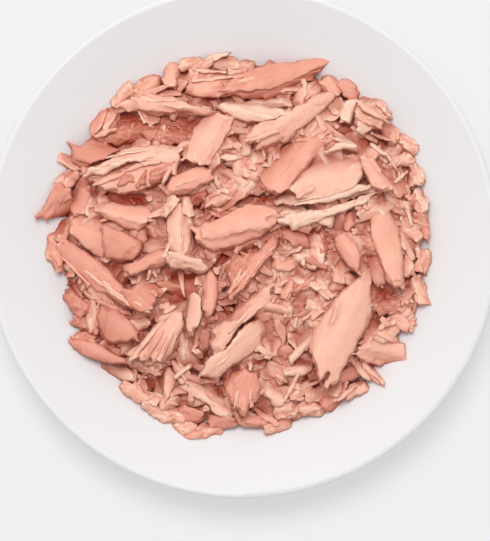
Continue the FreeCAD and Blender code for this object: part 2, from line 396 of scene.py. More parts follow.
@dataclass(frozen=True)
class PaleSweep:
    """Matte pale grey paper sweep, which takes the plate's soft shadow."""

    name: str = "paper_sweep"
    grey: str = "F0F0F0"
    shown: float = 0.5

    def material(self) -> bpy.types.Material:
        """Builds the paper.

        Returns:
            The material.
        """
        finish = bpy.data.materials.new(self.name)
        finish.use_nodes = True
        tree = finish.node_tree
        shader = tree.nodes["Principled BSDF"]
        shader.inputs["Base Color"].default_value = linear(self.grey)
        shader.inputs["Roughness"].default_value = 1.0
        shader.inputs["Specular IOR Level"].default_value = 0.0
        # The camera, glossy things and clear things see half of the sweep at its plain grey, so its shadow
        # stays light.
        path = add_node(tree, "ShaderNodeLightPath").outputs
        seen = maths(tree, "MAXIMUM", path["Is Camera Ray"], path["Is Glossy Ray"])
        seen = maths(tree, "MAXIMUM", seen, path["Is Transmission Ray"])
        share = maths(tree, "MULTIPLY", seen, self.shown)
        glow = add_node(tree, "ShaderNodeEmission", {"Color": linear(self.grey), "Strength": 1.0})
        links = {0: share, 1: shader.outputs["BSDF"], 2: glow.outputs["Emission"]}
        mixed = add_node(tree, "ShaderNodeMixShader", links=links)
        tree.links.new(mixed.outputs["Shader"], tree.nodes["Material Output"].inputs["Surface"])
        return finish


# --------------------------------------------------------------------------------------------------
# Flakes
# --------------------------------------------------------------------------------------------------


@dataclass(frozen=True)
class Outline:
    """How far a kind of flake reaches to each side of its middle line, from its near end to its far end.

    Attributes:
        left: the share of half the width at even steps along the length, on the left.
        right: the same on the right.
    """

    left: tuple[float, ...]
    right: tuple[float, ...]

    def corners(self, length: float, width: float, bow: float = 0.0) -> list[tuple[float, float]]:
        """The outline of a flake of this kind, round it from the near end along the right side.

        Args:
            length: from end to end, in millimetres.
            width: at the fullest, in millimetres.
            bow: how far the middle swings to the left, in millimetres.

        Returns:
            The corners, along the fibres and across, with the flake's middle at 0.
        """
        last = len(self.left) - 1
        steps = [(step / last, -self.right[step]) for step in range(last + 1)]
        steps += [(step / last, self.left[step]) for step in reversed(range(last + 1))]
        return [
            (length * (share - 0.5), bow * math.sin(math.pi * share) + out * width / 2)
            for share, out in steps
        ]


class Cut(Enum):
    """The kinds of flake that cooked tuna falls apart into."""

    SLAB = Outline((0.8, 1.0, 0.92, 1.0, 0.95, 1.05, 0.75), (0.5, 0.95, 1.05, 0.9, 1.0, 0.8, 0.35))
    WEDGE = Outline((0.4, 0.95, 1.05, 0.85, 0.7, 0.4, 0.12), (0.8, 1.0, 0.9, 0.95, 0.6, 0.45, 0.1))
    LEAF = Outline((0.1, 0.6, 1.0, 1.0, 0.75, 0.5, 0.05), (0.1, 0.8, 1.0, 0.8, 0.65, 0.3, 0.05))
    FAN = Outline((0.2, 0.45, 0.6, 0.85, 0.9, 1.05, 0.9), (0.3, 0.45, 0.75, 0.75, 1.0, 0.9, 1.0))
    LUMP = Outline((0.5, 0.95, 1.05, 0.8, 1.0, 0.75, 0.3), (0.75, 0.95, 0.8, 1.05, 0.85, 0.95, 0.55))


class GrainRelief:
    """The relief of cooked fish: sharp folds, long soft ridges along the fibres and a ragged outline."""

    FOLD_MM = 4.0
    FOLD_STRETCH = 2.2
    CRUMBLE_MM = 2.0
    CRUMBLE_STRETCH = 1.5
    RIDGE_MM = 1.3
    RIDGE_STRETCH = 7.0
    RAG_MM = 2.2
    RAG_STRETCH = 1.6
    CRUMBLED_FROM = 0.5
    FULL_WIDTH_MM = 7.0

    def __init__(self) -> None:
        """Makes the noise patterns and the empty whose axes stretch them."""
        self.folds = self._noise("flesh_folds", self.FOLD_MM, 2, "HARD_NOISE")
        self.crumble = self._noise("crumbled_flesh", self.CRUMBLE_MM, 2, "HARD_NOISE")
        self.ridges = self._noise("fibre_ridges", self.RIDGE_MM, 2, "SOFT_NOISE")
        self.rags = self._noise("ragged_edge", self.RAG_MM, 2, "SOFT_NOISE")
        self.axes = bpy.data.objects.new("grain_axes", None)
        bpy.context.scene.collection.objects.link(self.axes)

    @staticmethod
    def _noise(name: str, size: float, depth: int, kind: str) -> bpy.types.Texture:
        """Makes one cloudy noise of a size in millimetres."""
        noise = bpy.data.textures.new(name, "CLOUDS")
        noise.noise_scale = size
        noise.noise_depth = depth
        noise.noise_type = kind
        return noise

    def _push(
        self, piece: bpy.types.Object, noise: bpy.types.Texture, stretch: float, strength: float, way: str
    ) -> None:
        """Displaces the piece by one noise that is stretched along the fibres."""
        self.axes.scale = (stretch, 1.0, 1.0)
        bpy.context.view_layer.update()
        apply_modifier(
            piece,
            "DISPLACE",
            texture=noise,
            strength=strength,
            direction=way,
            mid_level=0.5,
            texture_coords="OBJECT",
            texture_coords_object=self.axes,
        )

    def press(self, piece: bpy.types.Object, rough: float, width: float, rng: random.Random) -> None:
        """Displaces the active piece by the patterns, at a place in them of its own.

        Args:
            piece: the active object.
            rough: from 0 for a smooth face to 1 for a shredded one.
            width: of the piece in millimetres, since a narrow one is torn less deeply.
            rng: the generator that picks the place in the patterns.
        """
        self.axes.location = [rng.uniform(-500, 500) for _ in range(3)]
        self._push(piece, self.folds, self.FOLD_STRETCH, 0.3 + 1.1 * rough, "NORMAL")
        self._push(piece, self.ridges, self.RIDGE_STRETCH, 0.06 + 0.45 * rough, "NORMAL")
        share = min(1.0, width / self.FULL_WIDTH_MM)
        for way in ("X", "Y"):
            self.axes.location.z += self.RAG_MM * 2
            self._push(piece, self.rags, self.RAG_STRETCH, (1.3 + rough) * share, way)
        if rough > self.CRUMBLED_FROM:
            crumbled = 2.0 * (rough - self.CRUMBLED_FROM) * share
            self._push(piece, self.crumble, self.CRUMBLE_STRETCH, crumbled, "NORMAL")

    def clear(self) -> None:
        """Removes the empty, which isn't part of the picture."""
        bpy.data.objects.remove(self.axes)


@dataclass
class Shape:
    """Mesh data in arrays, with the fields that the flesh material reads.

    Attributes:
        points: one row for each vertex.
        loops: the vertex of each face corner, face after face.
        sizes: how many corners each face has.
        grain: each vertex's place in its flake, in millimetres, with the fibres along X.
        tone: how creamy it is, at random and as painted light and shade. Below 0 it is pinker, then darker.
        rim: how far the vertex stands out from its neighbours, from -1 in a hollow to 1 on a sheet's edge.
    """

    # Painted shade: the slope it starts at, the share spared towards the lamp and the share added on the near
    # side.
    FLAT_UPWARD = 0.92
    FAR_SIDE_LIT = 0.6
    NEAR_SIDE_SHADE = 0.42
    points: np.ndarray
    loops: np.ndarray
    sizes: np.ndarray
    grain: np.ndarray
    tone: np.ndarray
    rim: np.ndarray

    @classmethod
    def take(cls, piece: bpy.types.Object) -> "Shape":
        """Reads an object's mesh and removes the object.

        Args:
            piece: a mesh object whose vertices are in millimetres.

        Returns:
            The mesh in arrays, with its grain at its own place.
        """
        mesh = piece.data
        points = np.empty(len(mesh.vertices) * 3)
        mesh.vertices.foreach_get("co", points)
        points = points.reshape(-1, 3)
        normals = np.empty(len(mesh.vertices) * 3)
        mesh.vertices.foreach_get("normal", normals)
        edges = np.empty(len(mesh.edges) * 2, np.int64)
        mesh.edges.foreach_get("vertices", edges)
        loops = np.empty(len(mesh.loops), np.int64)
        mesh.loops.foreach_get("vertex_index", loops)
        sizes = np.empty(len(mesh.polygons), np.int64)
        mesh.polygons.foreach_get("loop_total", sizes)
        normals = normals.reshape(-1, 3)
        rim = cls.ridges(points, normals, edges.reshape(-1, 2))
        bpy.data.objects.remove(piece)
        bpy.data.meshes.remove(mesh)
        return cls(points, loops, sizes, points.copy(), np.zeros(len(points)), rim)

    @staticmethod
    def ridges(points: np.ndarray, normals: np.ndarray, edges: np.ndarray) -> np.ndarray:
        """How far each vertex stands out from its neighbours, from -1 in a hollow to 1 on a ridge."""
        total = np.zeros_like(points)
        count = np.zeros(len(points))
        for here, there in ((edges[:, 0], edges[:, 1]), (edges[:, 1], edges[:, 0])):
            np.add.at(total, here, points[there])
            np.add.at(count, here, 1)
        span = np.linalg.norm(points[edges[:, 0]] - points[edges[:, 1]], axis=1).mean()
        out = ((points - total / np.maximum(count, 1)[:, None]) * normals).sum(axis=1) / span
        return np.clip((out - 0.05) * 5.0, 0, 1) - np.clip((-out - 0.05) * 5.0, 0, 1)

    @classmethod
    def join(cls, shapes: list["Shape"]) -> "Shape":
        """Joins shapes into one, in order.

        Args:
            shapes: what to join.

        Returns:
            One shape that holds them all.
        """
        starts = np.cumsum([0] + [len(shape.points) for shape in shapes[:-1]])
        return cls(
            np.concatenate([shape.points for shape in shapes]),
            np.concatenate([shape.loops + start for shape, start in zip(shapes, starts)]),
            np.concatenate([shape.sizes for shape in shapes]),
            np.concatenate([shape.grain for shape in shapes]),
            np.concatenate([shape.tone for shape in shapes]),
            np.concatenate([shape.rim for shape in shapes]),
        )

    def copy(self) -> "Shape":
        """A copy with arrays of its own."""
        return Shape(*(array.copy() for array in vars(self).values()))

    def scaled(self, x: float, y: float, z: float) -> "Shape":
        """A copy stretched along its own axes, mirrored where a factor is negative.

        Args:
            x: the factor along the fibres.
            y: the factor across.
            z: the factor through the thickness.

        Returns:
            The stretched copy, with its faces still outwards.
        """
        made = self.copy()
        made.points *= (x, y, z)
        made.grain *= (abs(x), abs(y), abs(z))
        if x * y * z < 0:
            ends = np.cumsum(made.sizes)
            for size in np.unique(made.sizes):
                rows = np.nonzero(made.sizes == size)[0]
                places = (ends[rows] - size)[:, None] + np.arange(size)
                made.loops[places] = made.loops[places[:, ::-1]]
        return made

    def reach(self, spot: "Spot") -> float:
        """How far from the heap's middle it would reach at a place.

        Args:
            spot: where it goes.

        Returns:
            The largest distance, in millimetres.
        """
        turn = math.radians(spot.turn)
        along, across, _ = self.points.T
        x = spot.x + along * math.cos(turn) - across * math.sin(turn)
        y = spot.y + along * math.sin(turn) + across * math.cos(turn)
        return float(np.hypot(x, y).max())

    def _round_faces(self) -> tuple[np.ndarray, np.ndarray]:
        """The first corner of each face, and for every corner the next one round its face."""
        starts = np.cumsum(self.sizes) - self.sizes
        following = np.roll(np.arange(len(self.loops)), -1)
        following[starts + self.sizes - 1] = starts
        return starts, following

    def drawn(self) -> np.ndarray:
        """Points spread over the faces, for raising the ground: vertices, face centres and edge middles."""
        starts, following = self._round_faces()
        centres = np.add.reduceat(self.points[self.loops], starts) / self.sizes[:, None]
        middles = (self.points[self.loops] + self.points[self.loops[following]]) / 2
        return np.concatenate([self.points, centres, middles])

    def sides(self) -> np.ndarray:
        """Painted shade per vertex: 0 on a face that looks up, up to 1 on a steep near side, less towards the
        lamp.
        """
        starts, following = self._round_faces()
        turned = np.cross(self.points[self.loops], self.points[self.loops[following]])
        normals = np.zeros_like(self.points)
        np.add.at(normals, self.loops, np.repeat(np.add.reduceat(turned, starts), self.sizes, axis=0))
        normals /= np.maximum(np.linalg.norm(normals, axis=1), 1e-9)[:, None]
        steep = np.clip((self.FLAT_UPWARD - normals[:, 2]) / self.FLAT_UPWARD, 0, 1)
        far = np.clip(normals[:, 1], 0, 1)
        near = np.clip(-normals[:, 1], 0, 1)
        return np.clip(steep * (1 - self.FAR_SIDE_LIT * far) + self.NEAR_SIDE_SHADE * near, 0, 1)

    def triangles(self) -> int:
        """How many triangles the shape has."""
        return int((self.sizes - 2).sum())

    def build(self, name: str, depth: np.ndarray) -> bpy.types.Object:
        """Makes the object, with its fields stored on the mesh.

        Args:
            name: the piece's name.
            depth: how far each vertex lies below the top of the heap around it, from 0 to 1.

        Returns:
            The new object at the origin.
        """
        mesh = bpy.data.meshes.new(name)
        mesh.vertices.add(len(self.points))
        mesh.vertices.foreach_set("co", self.points.ravel())
        mesh.loops.add(len(self.loops))
        mesh.loops.foreach_set("vertex_index", self.loops)
        mesh.polygons.add(len(self.sizes))
        mesh.polygons.foreach_set("loop_start", np.cumsum(self.sizes) - self.sizes)
        mesh.polygons.foreach_set("use_smooth", np.ones(len(self.sizes), bool))
        mesh.update(calc_edges=True)
        mesh.validate()
        places = mesh.attributes.new(GRAIN_FIELD, "FLOAT_VECTOR", "POINT")
        places.data.foreach_set("vector", self.grain.ravel())
        fields = {TONE_FIELD: self.tone, RIM_FIELD: self.rim, SIDE_FIELD: self.sides(), DEPTH_FIELD: depth}
        for field_name, values in fields.items():
            mesh.attributes.new(field_name, "FLOAT", "POINT").data.foreach_set("value", values)
        piece = bpy.data.objects.new(name, mesh)
        bpy.context.scene.collection.objects.link(piece)
        return piece


@dataclass
class Splinter:
    """One angular bundle of fibres, split off along its length.

    Attributes:
        length: along the fibres, in millimetres.
        width: across, in millimetres.
        height: in millimetres.
        place: where its middle goes.
        yaw: how far it is turned in plan, in degrees.
        roll: how far it is rolled about its length, in degrees.
    """

    length: float
    width: float
    height: float
    place: tuple[float, float, float] = (0.0, 0.0, 0.0)
    yaw: float = 0.0
    roll: float = 0.0

    def add(self, rng: random.Random) -> None:
        """Adds the splinter to the mesh that is being edited: a block with slanting ends, sides and top.

        Args:
            rng: the generator for the slants.
        """
        bpy.ops.mesh.primitive_cube_add(size=1.0)
        bpy.ops.transform.resize(value=(self.length, self.width, self.height), center_override=(0, 0, 0))
        for side in (-1, 1):
            end = (side, rng.uniform(-0.8, 0.8), rng.uniform(0.1, 1.1))
            split_off((side * self.length * rng.uniform(0.34, 0.46), 0, 0), end)
            flank = (rng.uniform(-0.1, 0.1), side, rng.uniform(0.4, 1.3))
            split_off((0, side * self.width * rng.uniform(0.28, 0.42), self.height * 0.2), flank)
        bpy.ops.mesh.select_linked()
        for axis, angle in (("X", self.roll), ("Z", self.yaw)):
            bpy.ops.transform.rotate(value=math.radians(angle), orient_axis=axis, center_override=(0, 0, 0))
        bpy.ops.transform.translate(value=self.place)


@dataclass
class Flake:
    """A flake: sheets of muscle that have not quite come apart, with splinters on them and at the torn ends.

    Attributes:
        corners: the outline in order, along the fibres and across, in millimetres.
        thickness: of the whole flake, in millimetres.
        rough: from 0 for a smooth face to 1 for a shredded one.
        bevel: the direction of the broad sloping side, in degrees anticlockwise from the fibres.
        grain_mm: how fine its skin is modelled.
        kept: the share of the skin's facets that stay when the flat parts are thinned out.
        curl: how far it curls along its length, as a share of the length.
        arch: how far its two long sides drop below its middle line, as a share of the width up to a limit.
    """

    SHEET_MM = 1.5
    SMOOTH = 0.04
    SOFTENED = 2
    BEVEL_MM = 3.6
    TWIST_DEGREES = 18.0
    ARCH_WIDTH_MM = 11.0
    corners: list[tuple[float, float]]
    thickness: float
    rough: float = 0.4
    bevel: float = 90.0
    grain_mm: float = 0.55
    kept: float = 1.0
    curl: float = 0.1
    arch: float = 0.2

    def __post_init__(self) -> None:
        """Measures the outline."""
        along = [corner[0] for corner in self.corners]
        across = [corner[1] for corner in self.corners]
        self.start, self.length = min(along), max(along) - min(along)
        self.width = max(across) - min(across)

    def shape(self, relief: GrainRelief, rng: random.Random) -> Shape:
        """Models the sheets and splinters, grows them together under one skin and presses the relief into it.

        Args:
            relief: the relief to press into it.
            rng: the generator for what is uneven.

        Returns:
            The flake, with its top at about height 0.
        """
        deselect()
        bpy.ops.mesh.primitive_circle_add(vertices=len(self.corners), radius=1.0, fill_type="NGON")
        piece = bpy.context.object
        bpy.ops.object.mode_set(mode="EDIT")
        self._body(rng)
        sheets = 0 if self.rough <= self.SMOOTH else max(1, round(self.thickness / self.SHEET_MM) - 1)
        for sheet in range(1, 1 + sheets):
            bpy.ops.mesh.primitive_circle_add(vertices=len(self.corners), radius=1.0, fill_type="NGON")
            self._sheet(sheet, rng)
        self._splinters(rng)
        bpy.ops.mesh.select_all(action="SELECT")
        bpy.ops.mesh.normals_make_consistent(inside=False)
        bpy.ops.object.mode_set(mode="OBJECT")
        apply_modifier(piece, "REMESH", mode="VOXEL", voxel_size=self.grain_mm)
        apply_modifier(piece, "SMOOTH", factor=0.5, iterations=self.SOFTENED)
        relief.press(piece, self.rough, self.width, rng)
        if self.kept < 1.0:
            apply_modifier(piece, "DECIMATE", ratio=self.kept)
        return self._curled(Shape.take(piece), rng)

    def _outline(self, height: float, share: float, rng: random.Random) -> None:
        """Moves the new circle's corners onto the flake's outline, a little unevenly.

        Args:
            height: where the sheet's underside is.
            share: how large the sheet is against the whole outline.
            rng: the generator for what is uneven.
        """
        mesh = bmesh.from_edit_mesh(bpy.context.object.data)
        face = next(face for face in mesh.faces if face.select)
        loose = 0.025 * self.width
        for loop, (x, y) in zip(face.loops, self.corners):
            along = x * share + rng.uniform(-1, 1) * loose
            loop.vert.co = (along, y * share + rng.uniform(-1, 1) * loose, height)
        bmesh.update_edit_mesh(bpy.context.object.data)

    def _body(self, rng: random.Random) -> None:
        """Raises the lowest sheet: steep sides, one with a broad bevel, and a face of two slanting facets."""
        self._outline(-self.thickness, 1.0, rng)
        bpy.ops.mesh.extrude_region_move(TRANSFORM_OT_translate={"value": (0, 0, self.thickness * 0.4)})
        bpy.ops.mesh.extrude_region_move(TRANSFORM_OT_translate={"value": (0, 0, self.thickness * 0.5)})
        slope = math.radians(self.bevel)
        reach = 0.12 * min(self.width, 14.0)
        lean = (-reach * math.cos(slope), -reach * math.sin(slope), 0)
        inset = 1.0 - min(0.42, self.BEVEL_MM / self.width)
        bpy.ops.transform.resize(value=(1.0 - 1.6 / self.length, inset, 1.0), center_override=lean)
        for side in (-1, 1):
            slant = (rng.uniform(-0.05, 0.05), side * rng.uniform(0.05, 0.22), 1.0)
            place = (0, rng.uniform(-0.05, 0.2) * side * self.width, -self.thickness * rng.uniform(0.1, 0.16))
            split_off(place, slant)

    def _sheet(self, sheet: int, rng: random.Random) -> None:
        """Lays one thinner sheet on the last, broken off along the fibres so that its edge shows as a step.

        Args:
            sheet: which it is, from the bottom.
            rng: the generator for what is uneven.
        """
        each = min(0.28 * self.thickness, 1.1)
        self._outline(-self.thickness * 0.5, 1.0 - rng.uniform(0.03, 0.09) * sheet, rng)
        top = -self.thickness * 0.1 + each * rng.uniform(0.5, 1.0)
        bpy.ops.mesh.extrude_region_move(TRANSFORM_OT_translate={"value": (0, 0, top + self.thickness * 0.5)})
        side = rng.choice((-1, 1))
        edge = (rng.uniform(-0.12, 0.12), side, rng.uniform(0.2, 0.9))
        split_off((0, side * rng.uniform(-0.1, 0.34) * self.width, top), edge)
        end = rng.choice((-1, 1))
        ragged = (end, rng.uniform(-0.9, 0.9), rng.uniform(0.3, 1.2))
        split_off((self.start + self.length * (0.5 + end * rng.uniform(0.2, 0.42)), 0, top), ragged)
        slant = (rng.uniform(-0.05, 0.05), rng.uniform(-0.2, 0.2), 1.0)
        split_off((0, 0, top - 0.25 * each), slant)

    def _curled(self, made: Shape, rng: random.Random) -> Shape:
        """Twists the flake about its length and curls it, since no flake lies quite flat.

        Args:
            made: the flat flake.
            rng: the generator for how much.

        Returns:
            The same flake, twisted and curled.
        """
        share = made.points[:, 0] / self.length
        twist = math.radians(rng.uniform(-1, 1) * self.TWIST_DEGREES) * share
        across, up = made.points[:, 1].copy(), made.points[:, 2] + self.thickness / 2
        made.points[:, 1] = across * np.cos(twist) - up * np.sin(twist)
        made.points[:, 2] = across * np.sin(twist) + up * np.cos(twist) - self.thickness / 2
        made.points[:, 2] += rng.uniform(-1, 0.5) * self.curl * self.length * share**2
        drop = rng.uniform(0.7, 1.2) * self.arch * min(self.width, self.ARCH_WIDTH_MM)
        made.points[:, 2] -= drop * (2 * across / self.width) ** 2
        return made

    def _span(self, share: float) -> tuple[float, float]:
        """Where the outline starts and ends across the flake, at a share of its length.

        Args:
            share: from 0 at the near end to 1 at the far end.

        Returns:
            The least and the greatest place across, in millimetres.
        """
        x = self.start + self.length * min(max(share, 0.02), 0.98)
        crossed = []
        for (x0, y0), (x1, y1) in zip(self.corners, self.corners[1:] + self.corners[:1]):
            if min(x0, x1) <= x <= max(x0, x1) and x0 != x1:
                crossed.append(y0 + (y1 - y0) * (x - x0) / (x1 - x0))
        return min(crossed), max(crossed)

    def _splinters(self, rng: random.Random) -> None:
        """Adds splinters along the face, more where it is rough, and some at both torn ends."""
        for _ in range(round(self.rough * self.width * 1.1)):
            share = rng.uniform(0.15, 0.85)
            length = min(self.length * rng.uniform(0.2, 0.5), 14.0)
            width = rng.uniform(1.1, 2.2)
            self._splinter(share, rng.uniform(0.05, 0.95), length, width, -self.thickness * 0.12, 12, rng)
        for _ in range(2 + round(self.width * (0.2 + 0.25 * self.rough))):
            share = rng.choice((rng.uniform(0.02, 0.12), rng.uniform(0.88, 0.98)))
            length = min(self.length * rng.uniform(0.12, 0.3), 6.0)
            height = -self.thickness * rng.uniform(0.2, 0.6)
            self._splinter(share, rng.uniform(0.05, 0.95), length, rng.uniform(0.9, 1.7), height, 22, rng)

    def _splinter(
        self,
        share: float,
        across: float,
        length: float,
        width: float,
        height: float,
        turn: float,
        rng: random.Random,
    ) -> None:
        """Adds one splinter at a share of the length and of the width there.

        Args:
            share: from 0 at the near end to 1 at the far end.
            across: from 0 on the right to 1 on the left.
            length: of the splinter, in millimetres.
            width: of the splinter, in millimetres.
            height: where its middle lies, in millimetres.
            turn: the most that it is turned off the fibres, in degrees.
            rng: the generator for its turn and roll.
        """
        low, high = self._span(share)
        place = (self.start + self.length * share, low + (high - low) * across, height)
        Splinter(length, width, width * 0.85, place, rng.uniform(-turn, turn), rng.uniform(-25, 25)).add(rng)


# --------------------------------------------------------------------------------------------------
# The heap
# --------------------------------------------------------------------------------------------------


class PlateFace:
    """The plate's upper face, as a height for each distance from its middle."""

    STEP_MM = 0.5
    REACH_MM = 82.0

    def __init__(self, plate: bpy.types.Object) -> None:
        """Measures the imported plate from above.

        Args:
            plate: the plate's object.
        """
        self.radii = np.arange(0.0, self.REACH_MM, self.STEP_MM)
        self.heights = np.array([self._height(plate, radius * MM) for radius in self.radii])

    @staticmethod
    def _height(plate: bpy.types.Object, radius: float) -> float:
        """The plate's height in millimetres at a distance in metres to the right of its middle."""
        inwards = plate.matrix_world.inverted()
        down = inwards.to_3x3() @ Vector((0, 0, -1))
        hit, place, _, _ = plate.ray_cast(inwards @ Vector((radius, 0, 1)), down)
        if not hit:
            raise ValueError(f"the plate has no face at {radius} m")
        return (plate.matrix_world @ place).z / MM

    def at(self, x: np.ndarray, y: np.ndarray) -> np.ndarray:
        """The height at points in plan, in millimetres."""
        return np.interp(np.hypot(x, y), self.radii, self.heights)


class Ground:
    """The height of the heap so far, on a fine square grid, which each new piece is laid on.

    Attributes:
        heights: millimetres above the table, one row of the grid for each step in X.
    """

    CELL_MM = 0.5
    HALF_MM = 78.0

    def __init__(self, face: PlateFace) -> None:
        """Makes a grid that lies on the bare plate.

        Args:
            face: the plate's upper face.
        """
        places = np.arange(-self.HALF_MM, self.HALF_MM + self.CELL_MM / 2, self.CELL_MM)
        self.heights = face.at(*np.meshgrid(places, places, indexing="ij"))
        self.covered = np.zeros(self.heights.shape, bool)

    def cells(self, x: np.ndarray, y: np.ndarray) -> tuple[np.ndarray, np.ndarray]:
        """The grid places of points in plan."""
        top = self.heights.shape[0] - 1
        rows = np.clip(np.rint((x + self.HALF_MM) / self.CELL_MM).astype(int), 0, top)
        columns = np.clip(np.rint((y + self.HALF_MM) / self.CELL_MM).astype(int), 0, top)
        return rows, columns

    def at(self, x: np.ndarray, y: np.ndarray) -> np.ndarray:
        """The height at points in plan."""
        return self.heights[self.cells(x, y)]

    def raise_to(self, points: np.ndarray) -> None:
        """Raises the ground to a piece that has been laid.

        Args:
            points: places spread over the piece, about a millimetre apart.
        """
        rows, columns = self.cells(points[:, 0], points[:, 1])
        top = self.heights.shape[0] - 1
        for row_step in (-1, 0, 1):
            for column_step in (-1, 0, 1):
                near = (np.clip(rows + row_step, 0, top), np.clip(columns + column_step, 0, top))
                np.maximum.at(self.heights, near, points[:, 2])

    def cover(self, points: np.ndarray) -> None:
        """Marks what a shown flake covers, so that few small bits land on it."""
        self.covered[self.cells(points[:, 0], points[:, 1])] = True

    def is_covered(self, x: float, y: float) -> bool:
        """Whether a place in plan lies on a shown flake."""
        return bool(self.covered[self.cells(np.array([x]), np.array([y]))][0])

    def blurred(self, reach_mm: float) -> np.ndarray:
        """The heights with every detail under about this size smoothed away.

        Args:
            reach_mm: the width of the blur.

        Returns:
            A new grid of the same shape.
        """
        count = max(1, int(reach_mm / self.CELL_MM))
        kernel = np.hanning(2 * count + 3)[1:-1]
        kernel /= kernel.sum()
        wide = np.pad(self.heights, count, mode="edge")
        wide = np.apply_along_axis(np.convolve, 0, wide, kernel, "valid")
        return np.apply_along_axis(np.convolve, 1, wide, kernel, "valid")


@dataclass
class Spot:
    """A place on the heap: where the middle of a piece goes, and how the piece is turned and tilted.

    Attributes:
        x: to the right, in millimetres.
        y: away from the near side, in millimetres.
        turn: the direction of the fibres, in degrees anticlockwise from the right.
        pitch: how much the far end is lifted, in degrees.
        roll: how much the left side is lifted, in degrees.
        lift: how far the piece stands above where it would rest, in millimetres.
        tone: how creamy it is, at random and as painted light and shade. Below 0 it is pinker, then darker.
    """

    x: float
    y: float
    turn: float
    pitch: float = 0.0
    roll: float = 0.0
    lift: float = 0.0
    tone: float = 0.1

    def tipped(self, lean: float) -> "Spot":
        """The same place with the far side of the piece pressed lower, since flakes lie like shingles.

        Args:
            lean: how far it is tipped, in degrees.

        Returns:
            The tipped place.
        """
        turn = math.radians(self.turn)
        pitch, roll = self.pitch - lean * math.sin(turn), self.roll - lean * math.cos(turn)
        return Spot(self.x, self.y, self.turn, pitch, roll, self.lift, self.tone)


@dataclass
class Laid:
    """One middling flake: its kind, its place in plan, its size in millimetres and its turn in degrees.

    Attributes:
        cut: the kind of flake.
        x: the middle, to the right.
        y: the middle, away from the near side.
        length: from end to end.
        width: at the fullest.
        thickness: of the stack.
        turn: the direction of the far end, anticlockwise from the right.
        tone: how creamy it is, at random and as painted light and shade. Below 0 it is pinker, then darker.
        bow: how far its middle swings to the left.
        rough: how shredded its face is.
        lift: how far it stands above where it would rest.
    """

    cut: Cut
    x: float
    y: float
    length: float
    width: float
    thickness: float
    turn: float
    tone: float = 0.1
    bow: float = 0.0
    rough: float = 0.35
    lift: float = 0.0

    def spot(self) -> Spot:
        """Where it lies."""
        return Spot(self.x, self.y, self.turn, lift=self.lift, tone=self.tone)

    def corners(self) -> list[tuple[float, float]]:
        """Its outline in its own space."""
        return self.cut.value.corners(self.length, self.width, self.bow)


@dataclass
class Large:
    """One large flake on top, given by the corners of its outline on the heap.

    Attributes:
        turn: the direction of its fibres, in degrees anticlockwise from the right.
        thickness: in millimetres.
        outline: the corners in order, to the right and away from the near side, in millimetres.
        rough: how shredded its face is.
        tone: how creamy it is, at random and as painted light and shade. Below 0 it is pinker, then darker.
        roll: how much its left side is lifted, in degrees.
        lift: how far it stands above where it would rest, in millimetres.
    """

    turn: float
    thickness: float
    outline: tuple[tuple[float, float], ...]
    rough: float = 0.12
    tone: float = 0.1
    roll: float = 0.0
    lift: float = 0.0

    def middle(self) -> tuple[float, float]:
        """The middle of the outline's extent."""
        across, away = zip(*self.outline)
        return (min(across) + max(across)) / 2, (min(away) + max(away)) / 2

    def spot(self) -> Spot:
        """Where it lies."""
        return Spot(*self.middle(), self.turn, roll=self.roll, lift=self.lift, tone=self.tone)

    def corners(self) -> list[tuple[float, float]]:
        """Its outline in its own space, turned so that the fibres run along X."""
        turn = math.radians(self.turn)
        middle_x, middle_y = self.middle()
        cosine, sine = math.cos(turn), math.sin(turn)
        moved = [(x - middle_x, y - middle_y) for x, y in self.outline]
        return [(x * cosine + y * sine, y * cosine - x * sine) for x, y in moved]


# Gaps between the large flakes where little lies, by middle and reach in millimetres.
HOLLOWS = (
    (-48.0, 16.5, 4.0),
    (-38.0, 15.0, 4.0),
    (-17.3, 39.5, 3.5),
    (-10.0, 47.5, 3.0),
    (-13.5, 15.0, 4.5),
    (37.0, 35.0, 5.0),
    (44.0, 32.5, 3.5),
    (34.0, 9.0, 4.0),
    (28.0, 0.5, 5.0),
    (15.0, 35.0, 3.0),
    (8.0, 16.0, 3.5),
    (-38.0, -13.0, 4.5),
    (-21.0, -14.0, 6.0),
    (-8.5, -4.5, 4.0),
    (-3.0, -21.0, 3.5),
    (-27.0, -44.5, 4.0),
    (8.5, -39.0, 5.0),
    (14.0, -33.0, 4.0),
    (20.0, -38.0, 3.5),
    (47.0, -18.5, 4.0),
    (24.0, -6.5, 4.5),
    (9.5, -30.0, 4.5),
    (19.0, -27.0, 4.5),
    (5.0, -44.0, 3.5),
    (40.0, 7.0, 3.5),
    (-55.0, -20.0, 4.0),
)
HOLLOW_DEPTH_MM = 3.6

SLAB, WEDGE, LEAF, FAN, LUMP = Cut.SLAB, Cut.WEDGE, Cut.LEAF, Cut.FAN, Cut.LUMP

# The shredded flakes of the bed, by kind, length, width and thickness in millimetres.
BED_KINDS = (
    (LUMP, 15, 11, 3.0), (SLAB, 17, 9, 2.8), (LUMP, 13, 10, 3.0), (FAN, 15, 11, 2.8), (SLAB, 14, 12, 3.0),
)
# Broken-off bits and shreds, by the same.
BIT_KINDS = (
    (LUMP, 9.0, 5.6, 2.2),
    (SLAB, 10.0, 5.4, 2.0),
    (FAN, 9.0, 6.4, 2.0),
    (WEDGE, 11.5, 5.4, 2.2),
    (LEAF, 10.5, 5.2, 2.0),
    (SLAB, 7.5, 5.8, 2.0),
    (FAN, 11.0, 5.6, 1.9),
    (LUMP, 7.0, 5.4, 2.2),
)
SHRED_KINDS = (
    (LEAF, 12.0, 2.6, 1.3),
    (WEDGE, 10.0, 3.0, 1.4),
    (SLAB, 8.0, 2.6, 1.3),
    (FAN, 9.0, 3.2, 1.2),
    (WEDGE, 14.0, 2.8, 1.3),
    (LEAF, 7.5, 2.8, 1.3),
    (FAN, 7.0, 3.6, 1.2),
    (SLAB, 11.0, 2.2, 1.2),
    (LEAF, 15.0, 2.4, 1.2),
    (WEDGE, 6.0, 3.0, 1.2),
)
